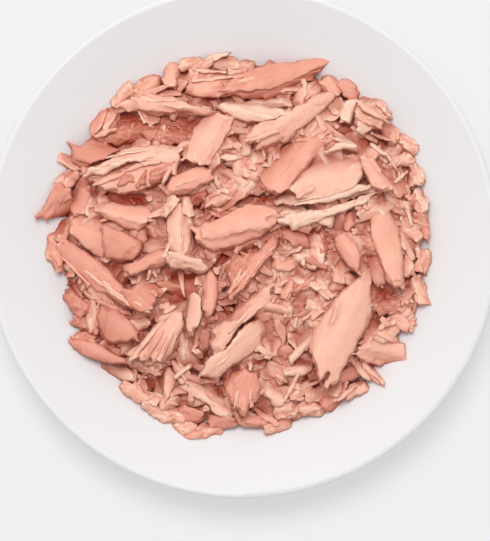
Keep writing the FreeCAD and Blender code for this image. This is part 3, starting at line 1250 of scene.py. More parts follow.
CRUMB_KINDS = ((LUMP, 3.6, 2.4, 1.2), (LEAF, 5.0, 2.0, 1.1), (LUMP, 3.0, 2.2, 1.1), (WEDGE, 4.4, 2.2, 1.1))

# The middling flakes that show between and beside the large ones, far side first. Their tones are partly
# painted light and shade; the darkest, set low, are painted shade in gaps.
SMALLER_FLAKES = (
    # Far side.
    Laid(LUMP, -32.5, 52.0, 12, 8, 3.6, 45),
    Laid(LUMP, -23.5, 56.0, 9, 7, 3.6, 80),
    Laid(LUMP, 0.0, 58.0, 10, 7, 3.4, 10, tone=0.6, rough=0.5),
    Laid(LUMP, -17.0, 60.0, 9, 6, 3.0, 15, tone=0.3, rough=0.6),
    Laid(LUMP, -6.0, 60.0, 11, 7, 3.0, -10, tone=0.3, rough=0.6),
    Laid(LEAF, -9.0, 61.8, 11, 3.5, 2.6, 20, tone=0.5),
    Laid(LUMP, -45.5, 40.0, 13, 9, 3.8, 60, tone=-0.1, rough=0.6),
    # Painted shade: two low dark lumps on the steep face under the spindle.
    Laid(LUMP, -38.0, 37.5, 18, 11, 3.2, 10, tone=-0.7, rough=1.0, lift=-1.2),
    Laid(LUMP, -25.0, 37.0, 16, 11, 3.2, -5, tone=-0.7, rough=1.0, lift=-1.2),
    Laid(SLAB, -40.0, 49.0, 10, 6, 3.2, 45),
    Laid(LUMP, 22.0, 51.5, 10, 8, 3.6, 30, rough=0.5),
    Laid(LUMP, 30.0, 52.5, 9, 7, 3.6, -30, rough=0.4),
    Laid(LUMP, 36.0, 51.0, 9, 6.5, 3.4, -50, tone=-0.1),
    Laid(SLAB, 19.0, 48.3, 8, 4.5, 3.0, 62),
    Laid(SLAB, 8.5, 46.2, 15, 4.5, 3.0, 4, tone=0.6),
    Laid(LUMP, 35.5, 44.0, 9, 6, 3.4, 70, tone=0.6),
    Laid(SLAB, 41.0, 36.0, 11, 2.6, 2.2, -30, tone=0.3),
    Laid(LEAF, 34.0, 33.2, 9, 3, 2.4, -15, tone=0.4, bow=1.2),
    # Painted shade: a low dark lump in a gap.
    Laid(LUMP, -16.0, 14.5, 9, 6, 3.0, 30, tone=-0.7, rough=0.8, lift=-1.0),
    # Right side.
    Laid(LUMP, 50.0, 31.0, 10, 7, 3.6, 45, tone=0.5, rough=0.6),
    Laid(LUMP, 55.0, 33.0, 9, 7, 3.0, -30, rough=0.8),
    Laid(FAN, 57.5, 24.0, 10, 7, 3.0, -80, tone=0.3, rough=0.7),
    Laid(LUMP, 52.0, 19.0, 9, 7, 3.2, -60, tone=-0.5, rough=0.6),
    Laid(LUMP, 59.5, 14.0, 9, 6.5, 3.0, -60, tone=0.25, rough=0.8),
    Laid(WEDGE, 60.5, 5.0, 11, 6, 3.0, -70, tone=-0.15, rough=0.7),
    Laid(LUMP, 60.5, -6.0, 9, 6.5, 3.0, 70, rough=0.7),
    Laid(LEAF, 56.0, -8.0, 9.5, 4, 2.8, -68, tone=0.2),
    Laid(SLAB, 59.0, -16.0, 11, 6, 3.0, -72, rough=0.7),
    Laid(LUMP, 49.0, -21.0, 9, 6.5, 3.2, 20, tone=-0.4, rough=0.7),
    Laid(LUMP, 55.0, -25.0, 9, 6, 3.2, -60, rough=0.7),
    Laid(LUMP, 53.0, 27.5, 9, 6, 3.0, 20, rough=0.7),
    Laid(LUMP, 49.0, 37.0, 9, 7, 3.2, -50, tone=0.1, rough=0.3),
    Laid(LUMP, 54.5, -20.0, 8, 6, 3.0, 50, rough=0.7),
    Laid(SLAB, 39.5, 16.8, 11, 3.2, 2.4, 12, tone=0.5),
    Laid(LUMP, 35.5, 7.0, 8, 4.5, 3.0, 80, tone=-0.4, lift=-1.0),
    Laid(LUMP, 18.0, 1.5, 10, 5.5, 3.2, -20, tone=-0.5, rough=0.7),
    # Painted shade: a low dark lump in a gap.
    Laid(LUMP, 27.0, -0.5, 8, 5, 3.0, 60, tone=-0.8, rough=0.7, lift=-2.0),
    Laid(SLAB, 13.5, -7.5, 8, 4.5, 2.8, -8, tone=-0.2),
    # Painted shade: a low dark slab in a gap.
    Laid(SLAB, 24.0, -6.5, 10.5, 3.4, 2.6, -25, tone=-0.6, lift=-1.5),
    Laid(LUMP, 20.0, -13.5, 10, 5.5, 3.0, 30, tone=-0.4, rough=0.8),
    Laid(LUMP, 27.0, -16.0, 8, 5, 3.0, -40, rough=0.8),
    Laid(LUMP, 14.5, -15.5, 8, 4.5, 2.8, 70, tone=-0.2, rough=0.7),
    # Middle.
    Laid(LEAF, -3.5, 28.3, 8, 3.3, 2.4, -8, tone=0.5),
    # Painted shade: a low dark fan in a hollow.
    Laid(FAN, -21.0, -14.5, 16, 10, 3.0, -10, tone=-0.6, rough=0.45, lift=-1.5),
    Laid(SLAB, 7.5, -2.0, 13, 3, 2.4, 48, tone=0.2),
    Laid(SLAB, 10.0, -21.5, 13, 3.6, 2.6, -15, tone=0.1),
    Laid(LEAF, 12.8, -30.0, 9, 4, 2.6, -80, tone=-0.25),
    Laid(LUMP, 14.2, -36.2, 5.5, 4.5, 2.8, 0, tone=-0.3),
    Laid(SLAB, 18.8, -42.3, 10.5, 3.8, 2.8, 5, tone=0.4),
    # Left side.
    Laid(LUMP, -54.0, 14.5, 11, 8, 3.6, 78, tone=-0.15, rough=0.2),
    Laid(LUMP, -58.5, 21.0, 10, 6, 3.2, 42, rough=0.7),
    Laid(SLAB, -57.0, 27.0, 10, 5, 3.0, -35, rough=0.5),
    Laid(LUMP, -62.3, -3.0, 13, 6.5, 3.6, -75, tone=-0.2, rough=0.6),
    Laid(LUMP, -60.0, 4.0, 9, 6, 3.0, 60, tone=-0.2, rough=0.7),
    Laid(SLAB, -46.0, -19.8, 18, 2.6, 2.2, -29, tone=0.0),
    Laid(LUMP, -55.5, -20.0, 11, 7, 3.2, -50, tone=-0.55, rough=0.9),
    Laid(LUMP, -52.0, -27.5, 11, 7, 3.2, -30, tone=-0.4, rough=0.9),
    Laid(LUMP, -52.5, -32.5, 9, 6, 3.0, -10, tone=-0.1, rough=0.9),
    # Near side.
    Laid(LUMP, -32.0, -39.0, 14, 10, 3.8, -20, tone=0.35, rough=1.0),
    Laid(LEAF, -23.5, -22.0, 6.5, 3.6, 2.6, 25, tone=0.2),
    Laid(LUMP, -34.0, -27.0, 6.5, 5, 2.8, 10, tone=0.35),
    Laid(SLAB, -42.0, -43.0, 12, 5.5, 3.2, -22, tone=0.45),
    Laid(LEAF, -27.0, -52.0, 9.5, 3.6, 2.6, -22, tone=0.5, lift=0.6),
    Laid(WEDGE, -24.5, -47.5, 11, 5, 3.0, -100),
    Laid(FAN, -21.0, -42.5, 9, 4.5, 2.6, -52),
    Laid(SLAB, -36.0, -50.0, 11, 6, 3.2, -32, rough=0.5),
    Laid(SLAB, -17.5, -57.5, 10, 6, 3.2, -18, tone=-0.5, rough=0.6),
    Laid(SLAB, -12.0, -53.0, 20, 6, 3.2, -38, tone=0.35, bow=2.0),
    Laid(LUMP, -19.0, -61.5, 11, 7, 3.0, -15, tone=0.1, rough=0.7),
    Laid(LUMP, -10.5, -62.5, 10, 6, 3.0, 8, tone=0.0, rough=0.7),
    Laid(LEAF, -15.5, -64.0, 10, 4.5, 2.4, 12, tone=-0.1),
    Laid(LUMP, -6.5, -60.0, 10, 6, 3.2, 10, tone=-0.3, rough=0.6),
    Laid(LUMP, 5.0, -59.5, 10, 6, 3.2, -5, tone=-0.15, rough=0.6),
    Laid(LUMP, 12.0, -61.0, 10, 6, 3.0, 12, tone=0.1, rough=0.7),
    Laid(LUMP, -29.0, -56.0, 10, 6, 3.0, -35, tone=0.1, rough=0.7),
    Laid(LUMP, -24.0, -57.5, 10, 7, 3.0, -20, tone=0.0, rough=0.7),
    Laid(LUMP, -24.0, -53.5, 9, 6, 3.0, 20, tone=0.0, rough=0.7),
    Laid(SLAB, 10.5, -50.5, 10, 6, 3.2, -44, rough=0.5),
    Laid(LUMP, 14.0, -56.0, 9, 7, 3.2, 20, rough=0.7),
    Laid(SLAB, 19.5, -49.5, 9, 5, 3.0, 32, rough=0.5),
    Laid(LUMP, 23.0, -55.5, 9, 6, 3.2, 8, rough=0.7),
    Laid(LUMP, 25.5, -50.5, 10, 7, 3.2, 15, rough=0.7),
    Laid(SLAB, 30.5, -52.5, 10, 6, 3.2, 35, tone=-0.3, rough=0.5),
    Laid(LUMP, 38.0, -49.0, 9, 6, 3.2, 30, rough=0.6),
    Laid(LUMP, 35.5, -43.5, 9, 6.5, 3.0, 20, tone=-0.1, rough=0.3),
    Laid(SLAB, 39.5, -41.5, 12, 4.2, 2.8, -50, tone=0.2),
    Laid(SLAB, 43.5, -43.5, 11, 3.6, 2.8, -46),
    Laid(SLAB, 48.0, -31.0, 9.5, 3.2, 2.4, -30, tone=0.25),
)

# The large flakes that lie on top, in the order that they were dropped. Their tones are partly painted light
# and shade: creamier where lit, pinker and darker where shaded.
TOP_FLAKES = (
    # Left side.
    Large(35, 3.2, ((-69, 8), (-66.5, 8.6), (-64, 8), (-60, 8.4), (-57, 10), (-56, 14), (-58, 18.5),
        (-62, 20.5), (-64.5, 17), (-66, 13), (-68, 10)), rough=0.3, tone=-0.45),
    Large(-18, 4.0, ((-60, 34.5), (-57, 31), (-57, 26.5), (-53.5, 24), (-49, 26), (-45, 28), (-40.5, 30.8),
        (-44, 32.8), (-50, 35.5), (-54.5, 32.2)), tone=-0.4),
    Large(14, 5.0, ((-53, 22), (-49, 19.5), (-45.5, 17.5), (-41, 16), (-35, 16.2), (-29.5, 18.5),
        (-24.5, 19), (-22, 23), (-20, 27.5), (-26, 30), (-40, 29), (-48, 25)), rough=0.4, tone=0.0,
        roll=-4),
    Large(12, 3.2, ((-52.5, 22.5), (-46, 22), (-42, 25), (-37, 27.5), (-30, 26.5), (-24, 25.5), (-20, 27),
        (-21.5, 31.5), (-26, 33), (-33, 32.4), (-40, 31), (-44, 28), (-50, 24.5)), roll=5, tone=0.3,
        lift=0.8),
    Large(30, 2.4, ((-41, 19), (-38, 18.4), (-35.5, 20), (-36, 22.5), (-38.5, 23.6), (-41, 22)), rough=0.9,
        tone=-0.45, lift=0.4),
    Large(70, 2.4, ((-35, 18.6), (-32, 18.4), (-30.6, 20.5), (-31, 24), (-33.4, 25), (-35, 22)), rough=0.9,
        tone=-0.6, lift=0.5),
    Large(20, 2.8, ((-31, 24.5), (-31, 20), (-27, 20), (-22.5, 24), (-23.5, 27.5), (-27, 26.5)), rough=0.5,
        tone=-0.35, lift=0.5),
    Large(18, 3.4, ((-26, 17), (-25, 15.2), (-21, 15.3), (-17, 16.5), (-14, 18.8), (-12, 19.5),
        (-8.5, 21.5), (-10.8, 22.5), (-9, 25.3), (-11.8, 24.6), (-12.5, 26), (-16, 25.3), (-20, 23.5),
        (-24, 22)), tone=-0.05, roll=5),
    Large(-10, 3.4, ((-49.5, 11.5), (-46, 8), (-42, 6.5), (-38.5, 4.5), (-35, 3.8), (-31, 6.5),
        (-29.5, 10.5), (-32.5, 12.6), (-38, 13.2), (-43, 14.2), (-48, 13.6)), tone=0.05, roll=4),
    Large(-24, 4.6, ((-58, 6), (-58, 3), (-55, 0.5), (-50, -3.5), (-46, -5.2), (-45, 0), (-45.5, 7.5),
        (-49, 10), (-53.5, 10.2), (-56.5, 9)), rough=0.05, tone=0.0, roll=3),
    Large(-24, 4.2, ((-47, 5.8), (-47, 0), (-46.5, -5.6), (-40, -7), (-36, -5.8), (-33.5, -3), (-33, 1),
        (-39, 3.8), (-44, 5.7)), rough=0.05, tone=-0.3, roll=7),
    Large(-41, 4.4, ((-63, -1), (-61, -4.5), (-57, -9), (-52, -13.5), (-47, -17), (-42, -20), (-38, -21.5),
        (-35.8, -19.5), (-38.5, -14.5), (-42, -10.5), (-46, -6), (-52, -2.5), (-57, 1), (-60, 2.6)),
        rough=0.28, tone=-0.25, roll=5),
    Large(-40, 3.6, ((-40, -16.5), (-39.5, -20), (-37, -22.5), (-33, -24), (-30, -22), (-28, -18),
        (-25.8, -15.5), (-26, -12.5), (-31, -11), (-36, -14.5)), rough=0.05, tone=-0.35),
    Large(-45, 3.8, ((-49, -24), (-48.5, -28), (-47.5, -32.5), (-45, -34), (-40, -33.8), (-37, -33),
        (-33.5, -29.7), (-36.5, -27), (-39, -23), (-43, -21), (-47, -22)), rough=0.08, tone=-0.35),
    # Far side.
    Large(-5, 4.0, ((-42, 46.3), (-40, 44.8), (-35, 43.5), (-29, 42.5), (-22, 42.8), (-15, 43), (-9, 42.6),
        (-8, 43.7), (-13, 44.9), (-18, 46.6), (-23, 48.6), (-28, 49.7), (-33, 49.5), (-38, 48.3)),
        rough=0.3, tone=0.18, roll=4, lift=0.8),
    Large(4, 3.8, ((-19, 51), (-18, 48.5), (-13, 47.5), (-7, 48), (-2, 50), (2, 52.5), (3, 56), (0, 58.5),
        (-7, 57), (-13, 57.6), (-18.5, 55.5)), rough=0.25, lift=-1.6),
    # Painted shade: a thin dark flake for the shaded underside of the cone and its shadow below.
    Large(17, 3.0, ((-4, 49.5), (0, 47.6), (6, 47.8), (13, 49.4), (20, 53), (27, 57.6), (29.5, 60.4),
        (22, 58), (12, 54), (4, 52)), rough=0.3, tone=-0.95),
    Large(17, 5.6, ((-8.5, 49.6), (-5, 49.4), (0, 49.8), (6, 50), (12, 51.4), (18, 54.4), (24, 57.5),
        (29.5, 60.4), (29.8, 62.3), (26, 62.4), (20, 61.2), (13, 60.4), (6, 59), (0, 57), (-4.5, 54)),
        rough=0.12, tone=-0.28, roll=6, lift=1.8),
    Large(-10, 3.2, ((-9, 45.4), (-7, 43.4), (-3, 41), (2, 39.4), (7, 39.4), (12, 41), (15, 43), (13, 44.6),
        (6, 46.2), (0, 47.2), (-6, 47)), tone=0.45, roll=5),
    Large(56, 4.0, ((-20, 29), (-18, 26.4), (-14, 25.2), (-10.5, 25.5), (-9, 28.5), (-6.5, 32.5),
        (-4.5, 36.5), (-2.5, 39.5), (-3, 42), (-8.5, 43.8), (-13, 43), (-16.5, 38.5), (-18.5, 35),
        (-19.5, 32.5)), rough=0.08, tone=0.08),
    Large(32, 4.2, ((3, 31), (4.5, 30), (10, 31.4), (16, 34.4), (21, 38), (26, 42), (30, 46.4), (33, 50),
        (32, 52), (27, 50.6), (21, 47.2), (15, 43.2), (9, 40.2), (3, 38.4), (1.5, 36.8), (6, 36.2),
        (1, 34.4), (1.6, 33), (7, 33.4)), rough=0.3, tone=0.1, roll=5, lift=0.4),
    Large(20, 2.0, ((0.6, 33.2), (4, 33.2), (8, 34.6), (12, 36.4), (9.5, 37), (5, 35.8), (1, 34.6)),
        tone=0.28, lift=0.8),
    # Right side.
    Large(20, 5.0, ((37, 42), (38, 38.5), (42, 36.8), (46, 37.5), (49.5, 41), (49, 46), (45.5, 49.5),
        (40.5, 49.8), (37.3, 46.5)), rough=0.45, tone=0.35),
    Large(16, 3.2, ((9.5, 10), (11, 7.5), (15, 5.5), (20, 5.6), (26, 7.2), (32, 9.2), (37, 11.2),
        (42, 14.2), (46, 17), (42, 16), (36, 13.8), (30, 12), (25, 11), (20, 11.2), (15, 12.8), (12, 12.6)),
        rough=0.45, tone=0.6, roll=6),
    Large(18, 2.6, ((11, 13.6), (18, 12), (24, 12.2), (30, 13.4), (36, 15.4), (42, 17.8), (45.4, 19.6),
        (40, 19.6), (34, 18.4), (28, 18), (22, 18), (15, 17.6)), rough=0.4, tone=0.6, roll=6),
    Large(25, 3.6, ((15, 17.5), (18, 15), (22, 13.4), (28, 14.4), (33, 16), (37.5, 18.5), (40, 22.5),
        (40.2, 26), (39, 29), (36, 30.6), (30, 30.2), (26, 28.8), (23, 26), (20, 23.5), (17, 21)),
        rough=0.04, tone=0.35, lift=2.0),
    Large(8, 1.8, ((27.5, 29.8), (31, 30.8), (35, 31), (39, 29.6), (37.5, 32.2), (34, 33.6), (30.5, 32.6)),
        tone=0.6, lift=0.6),
    Large(52, 4.6, ((5, 22.5), (6, 18.5), (9, 16.4), (12, 15.4), (15, 17.4), (18, 20.4), (22, 25), (26, 30),
        (30, 34), (31, 37.5), (28.5, 39.6), (24, 38.9), (20, 36.2), (16, 33.2), (12, 30.6), (7.5, 27)),
        rough=0.08, tone=-0.12, lift=0.8),
    Large(-55, 3.4, ((38.5, 28.5), (39.5, 24.5), (41.5, 21), (43.5, 18), (47, 17), (49.5, 18.5),
        (48.5, 21.5), (46, 25), (44, 28), (40.5, 29.6)), tone=-0.12, roll=6),
    Large(-76, 5.2, ((43, 11), (41.6, 8.5), (41.3, 4), (43, -2), (46, -8.5), (48, -13), (50.5, -15.6),
        (53.8, -14.8), (54, -8), (53.6, 0), (51.8, 7), (50, 12), (48, 13.6), (45, 13.4)), rough=0.05,
        tone=-0.1, roll=4),
    Large(-58, 4.2, ((30, 1.5), (30.6, -1.5), (33, -5.5), (36, -9), (38.5, -10.6), (39.6, -7), (39, -3),
        (37.5, 0), (35, 2.6), (32, 3.8)), rough=0.1, tone=-0.25, roll=6),
    # Middle.
    Large(12, 4.8, ((-16, 5), (-15.5, 0.5), (-13, -1.5), (-9, -2.8), (-4, -2.3), (1, -0.8), (6, 1.5),
        (10, 4.5), (12, 8), (12.6, 11), (10, 12.5), (6, 13.3), (2, 12.9), (-3, 11), (-7, 9), (-10, 6.8)),
        rough=0.15, tone=-0.15, roll=4, lift=0.5),
    Large(88, 4.2, ((-25.4, 9), (-25.3, 5), (-25.5, -1), (-24.5, -4), (-21, -4.6), (-18, -4.6),
        (-16.2, -2.5), (-16, 2), (-15.8, 7), (-17, 9.6), (-18.4, 13.6), (-22, 13.4), (-25, 12.6)),
        rough=0.2, tone=0.25),
    Large(26, 3.4, ((-39, -9.5), (-38, -11.5), (-34, -10.5), (-31, -8.8), (-27.5, -8.5), (-25, -7),
        (-24, -4), (-26, -1.7), (-29, -2.5), (-32, -4.5), (-36, -6), (-38.6, -7.5)), rough=0.3, tone=-0.15,
        lift=0.6),
    Large(-16, 3.6, ((-25.5, -6.5), (-23, -9), (-19, -9), (-15, -10.3), (-12, -10.6), (-11, -8),
        (-13, -5.5), (-17, -4), (-21, -3), (-25, -2.4)), rough=0.25, tone=0.32, lift=0.6),
    Large(88, 3.8, ((-11, -9), (-12.3, -10.5), (-13, -14), (-12.8, -20), (-12, -24), (-10, -24.6),
        (-8.5, -21), (-7.5, -17), (-7.8, -12), (-9, -9)), tone=-0.1),
    Large(82, 3.6, ((-17, -16.4), (-18.8, -19.5), (-19, -24), (-18.3, -29), (-16.5, -30.6), (-14.5, -27.5),
        (-13.2, -23), (-13.8, -19), (-15.5, -16.2)), tone=0.2),
    Large(60, 3.6, ((-6, -8), (-5, -12), (-3.5, -17.5), (-1.5, -17), (1.5, -14), (5, -10.5), (8, -6.5),
        (11, -2.5), (12.6, 0.5), (12, 2.6), (10, 3), (7.5, -1), (4.5, -3), (-0.5, -4), (-5, -4)),
        rough=0.45, tone=-0.2),
    Large(47, 3.8, ((-11, -34), (-9.5, -36), (-7, -37.6), (-5.5, -34.5), (-3.5, -31), (-1, -28), (3, -25),
        (6, -22), (8.6, -20.6), (11.2, -17.5), (9.6, -16), (8, -13.4), (5, -14.6), (2, -17), (-2, -21),
        (-6, -25), (-9, -29)), rough=0.2, tone=0.05, roll=5),
    Large(43, 4.4, ((-14.2, -44.4), (-11, -44.8), (-8, -45.6), (-5, -42.6), (-1, -40), (3, -37.5), (7, -34),
        (10, -30), (8, -26.6), (5, -24.4), (1.5, -26.4), (-3, -31.5), (-7, -36.5), (-11, -37.5),
        (-13, -41)), rough=0.15, tone=0.3, roll=4, lift=0.5),
    # Near side.
    Large(68, 4.6, ((22.4, -36), (24, -41), (25.4, -46.4), (27, -44.6), (28.4, -42), (29.3, -43.6),
        (30, -47.6), (31.8, -45.6), (33, -42), (36.5, -37.5), (40, -31), (44.2, -23.5), (43.4, -17),
        (43.6, -12), (43, -8), (41.5, -8), (38, -11), (33, -16), (27.5, -22.5), (23.4, -29)), rough=0.03,
        tone=0.12, lift=0.8),
    Large(-6, 3.6, ((38.4, -35.5), (38, -38), (41, -40.6), (45, -41.6), (50, -41), (53.6, -40), (55.2, -37),
        (54.6, -33.6), (50, -32.2), (45, -32.4), (41.5, -32)), rough=0.15),
    Large(52, 3.6, ((-38, -37.5), (-31, -38), (-29, -40), (-25, -38.6), (-22, -35), (-20, -30),
        (-19.5, -25), (-22, -22.4), (-26, -25), (-30, -28.5), (-33, -31.5), (-36.5, -35)), rough=0.4,
        tone=0.2),
    Large(-20, 3.6, ((-57.6, -33.5), (-56.5, -36), (-53, -38), (-48, -39.6), (-43, -40.6), (-39, -40),
        (-40, -38), (-43, -36.5), (-47, -34), (-52, -32.4), (-55, -32)), tone=-0.35),
    Large(80, 3.8, ((-7, -47), (-5, -51.5), (-2, -55), (1, -57), (3.5, -54), (6, -51), (6.6, -46),
        (5, -42.5), (0, -42), (-4, -43)), rough=0.45, tone=-0.2),
)

# Thin strips that have peeled off the large flakes and lie along them, and splinters at their torn ends.
STRIPS = (
    # The streaky fan at the near left.
    Large(50, 1.7, ((-37.5, -38), (-36, -39), (-31, -33), (-26, -27), (-24.5, -24), (-27, -25.6),
        (-32, -31)), tone=0.2, lift=0.5),
    Large(54, 1.6, ((-33, -39), (-31.4, -39.6), (-27.6, -34), (-24, -28), (-22.6, -23.6), (-25, -27),
        (-29, -33)), tone=0.1, lift=0.5),
    Large(62, 1.6, ((-28.6, -39.4), (-26.6, -39), (-23.6, -34), (-21, -28), (-20.6, -25), (-23, -28),
        (-26, -33.4)), tone=0.3, lift=0.5),
    # The long fibrous flake on the left.
    Laid(LEAF, -50.5, -10.5, 20, 2.0, 1.5, -42, tone=0.15),
    Laid(LEAF, -46.0, -13.0, 16, 1.8, 1.4, -40, tone=0.2),
    Laid(WEDGE, -40.5, -18.5, 12, 2.2, 1.5, -38, tone=0.1),
    Laid(LEAF, -55.5, -9.5, 14, 1.8, 1.4, -46, tone=0.0),
    Laid(LEAF, -36.0, -20.0, 12, 1.8, 1.4, -30, tone=0.1),
    # The long torn flake above it, and its torn right end.
    Laid(LEAF, -36.0, 29.2, 22, 1.7, 1.3, 8, tone=0.4, bow=1.0),
    Laid(LEAF, -33.0, 25.6, 15, 2.6, 1.4, 16, tone=0.15),
    Laid(LEAF, -44.0, 21.5, 13, 3.0, 1.4, 22, tone=0.05),
    Laid(WEDGE, -24.5, 23.0, 8, 2.0, 1.4, 60, tone=0.2),
    Laid(WEDGE, -22.0, 25.5, 7, 1.8, 1.4, 75, tone=0.1),
    Laid(LEAF, -18.0, 20.8, 12, 2.8, 1.4, 22, tone=0.05),
    # The upright column and the two arms below it.
    Laid(LEAF, -23.0, 4.0, 15, 1.6, 1.4, 88, tone=0.25),
    Laid(LEAF, -19.4, 5.0, 14, 1.6, 1.4, 85, tone=0.35),
    Laid(FAN, -24.0, 12.0, 8, 4.5, 1.4, 60, tone=0.4),
    Laid(FAN, -27.5, 10.0, 8, 4.0, 1.4, 25, tone=0.3),
    Laid(LUMP, -18.0, 11.5, 7, 4.0, 1.6, 110, tone=0.35),
    Laid(LEAF, -31.0, -10.8, 4, 1.4, 1.2, -100, tone=0.15),
    Laid(LEAF, -28.6, -10.8, 4.5, 1.4, 1.2, -80, tone=0.2),
    Laid(LEAF, -24.5, -1.5, 8, 2.0, 1.4, 65, tone=0.3),
    # The ridged fan and the two parallel flakes.
    Laid(LEAF, 1.0, -10.5, 14, 1.7, 1.4, 52, tone=0.0),
    Laid(LEAF, 4.5, -8.0, 16, 1.7, 1.4, 55, tone=0.1),
    Laid(LEAF, -1.8, -12.0, 12, 1.6, 1.4, 62, tone=0.0),
    Laid(LEAF, 8.0, -4.0, 13, 1.6, 1.4, 50, tone=0.2),
    Laid(LEAF, 0.5, -24.5, 16, 1.7, 1.3, 47, tone=0.15),
    Laid(LEAF, -2.0, -34.5, 17, 1.7, 1.3, 44, tone=0.3),
    Laid(LEAF, -6.0, -40.5, 12, 1.7, 1.3, 42, tone=0.2),
    # The crumbly lump at the far left.
    Laid(LEAF, -46.8, 41.0, 10, 2.4, 1.5, 66, tone=0.0),
    Laid(LEAF, -44.0, 40.0, 9, 2.2, 1.5, 55, tone=0.1),
    Laid(WEDGE, -45.5, 36.5, 8, 2.4, 1.5, 20, tone=0.0),
    # The spindle, the layered slab and the far rim.
    Laid(LEAF, -27.0, 47.4, 20, 1.8, 1.4, -3, tone=0.3),
    Laid(LEAF, -19.0, 45.0, 16, 1.6, 1.3, -7, tone=0.25),
    Laid(LEAF, -8.0, 54.5, 16, 2.0, 1.5, 4, tone=0.35),
    Laid(LEAF, -11.0, 57.0, 12, 2.0, 1.5, -5, tone=0.4),
    Laid(LEAF, 3.0, 54.0, 14, 1.7, 1.4, 15, tone=0.2),
    # The fingered flake, the two streaky sheets and the crumpled right rim.
    Laid(LEAF, 17.0, 41.5, 20, 1.8, 1.4, 38, tone=0.35),
    Laid(LEAF, 10.0, 36.0, 12, 1.7, 1.4, 25, tone=0.35),
    Laid(LEAF, 26.0, 15.4, 20, 1.5, 1.3, 14, tone=0.5),
    Laid(LEAF, 41.0, 45.5, 10, 2.6, 1.5, -36, tone=0.1),
    Laid(LEAF, 43.5, 43.0, 12, 2.6, 1.5, -30, tone=0.2),
    Laid(LEAF, 42.0, 40.0, 9, 2.4, 1.5, -22, tone=0.05),
    Laid(LEAF, 46.5, 45.0, 8, 2.2, 1.5, -48, tone=0.1),
    Laid(LEAF, 47.0, 35.0, 9, 2.0, 1.4, -20, tone=0.4),
    Laid(LEAF, 46.0, 30.5, 8, 1.8, 1.3, -35, tone=0.4),
    Laid(LEAF, 50.5, 26.0, 8, 2.0, 1.4, -60, tone=0.35),
    Laid(WEDGE, 53.0, 22.0, 7, 2.0, 1.4, 40, tone=0.35),
    Laid(LEAF, 55.5, 9.5, 8, 2.0, 1.4, -75, tone=0.3),
    # The near side.
    Laid(LEAF, -1.5, -49.0, 12, 1.8, 1.4, 80, tone=0.1),
    Laid(LEAF, 2.5, -48.5, 12, 1.8, 1.4, 95, tone=0.1),
    Laid(WEDGE, -20.0, -43.5, 8, 2.2, 1.4, -60, tone=0.3),
    Laid(LEAF, -19.5, -42.5, 7, 1.8, 1.4, 35, tone=0.3),
    Laid(LEAF, 17.0, -47.5, 10, 2.0, 1.4, 60, tone=0.2),
    Laid(LEAF, 35.0, -50.0, 9, 2.0, 1.4, 40, tone=0.2),
    Laid(WEDGE, 45.0, -45.0, 8, 2.0, 1.4, -45, tone=0.15),
)


@dataclass(frozen=True)
class Scatter:
    """How copies of some masters are strewn over the heap.

    Attributes:
        count: how many are laid.
        outer: the largest distance from the middle, in millimetres.
        stretch: the least and the most that a copy is stretched along its length.
        sink: how far a piece settles into what it lies on.
        slope: the most that it is tilted out of the ground's slope, in degrees.
        cap: the most that it stands over the dome, in millimetres.
        bare_only: the share of those that would land on a large flake that are left out.
        picks: how many places are looked at for each piece, of which it takes the lowest.
    """

    count: int
    outer: float
    stretch: tuple[float, float]
    sink: float
    slope: float
    cap: float
    bare_only: float = 0.0
    picks: int = 1


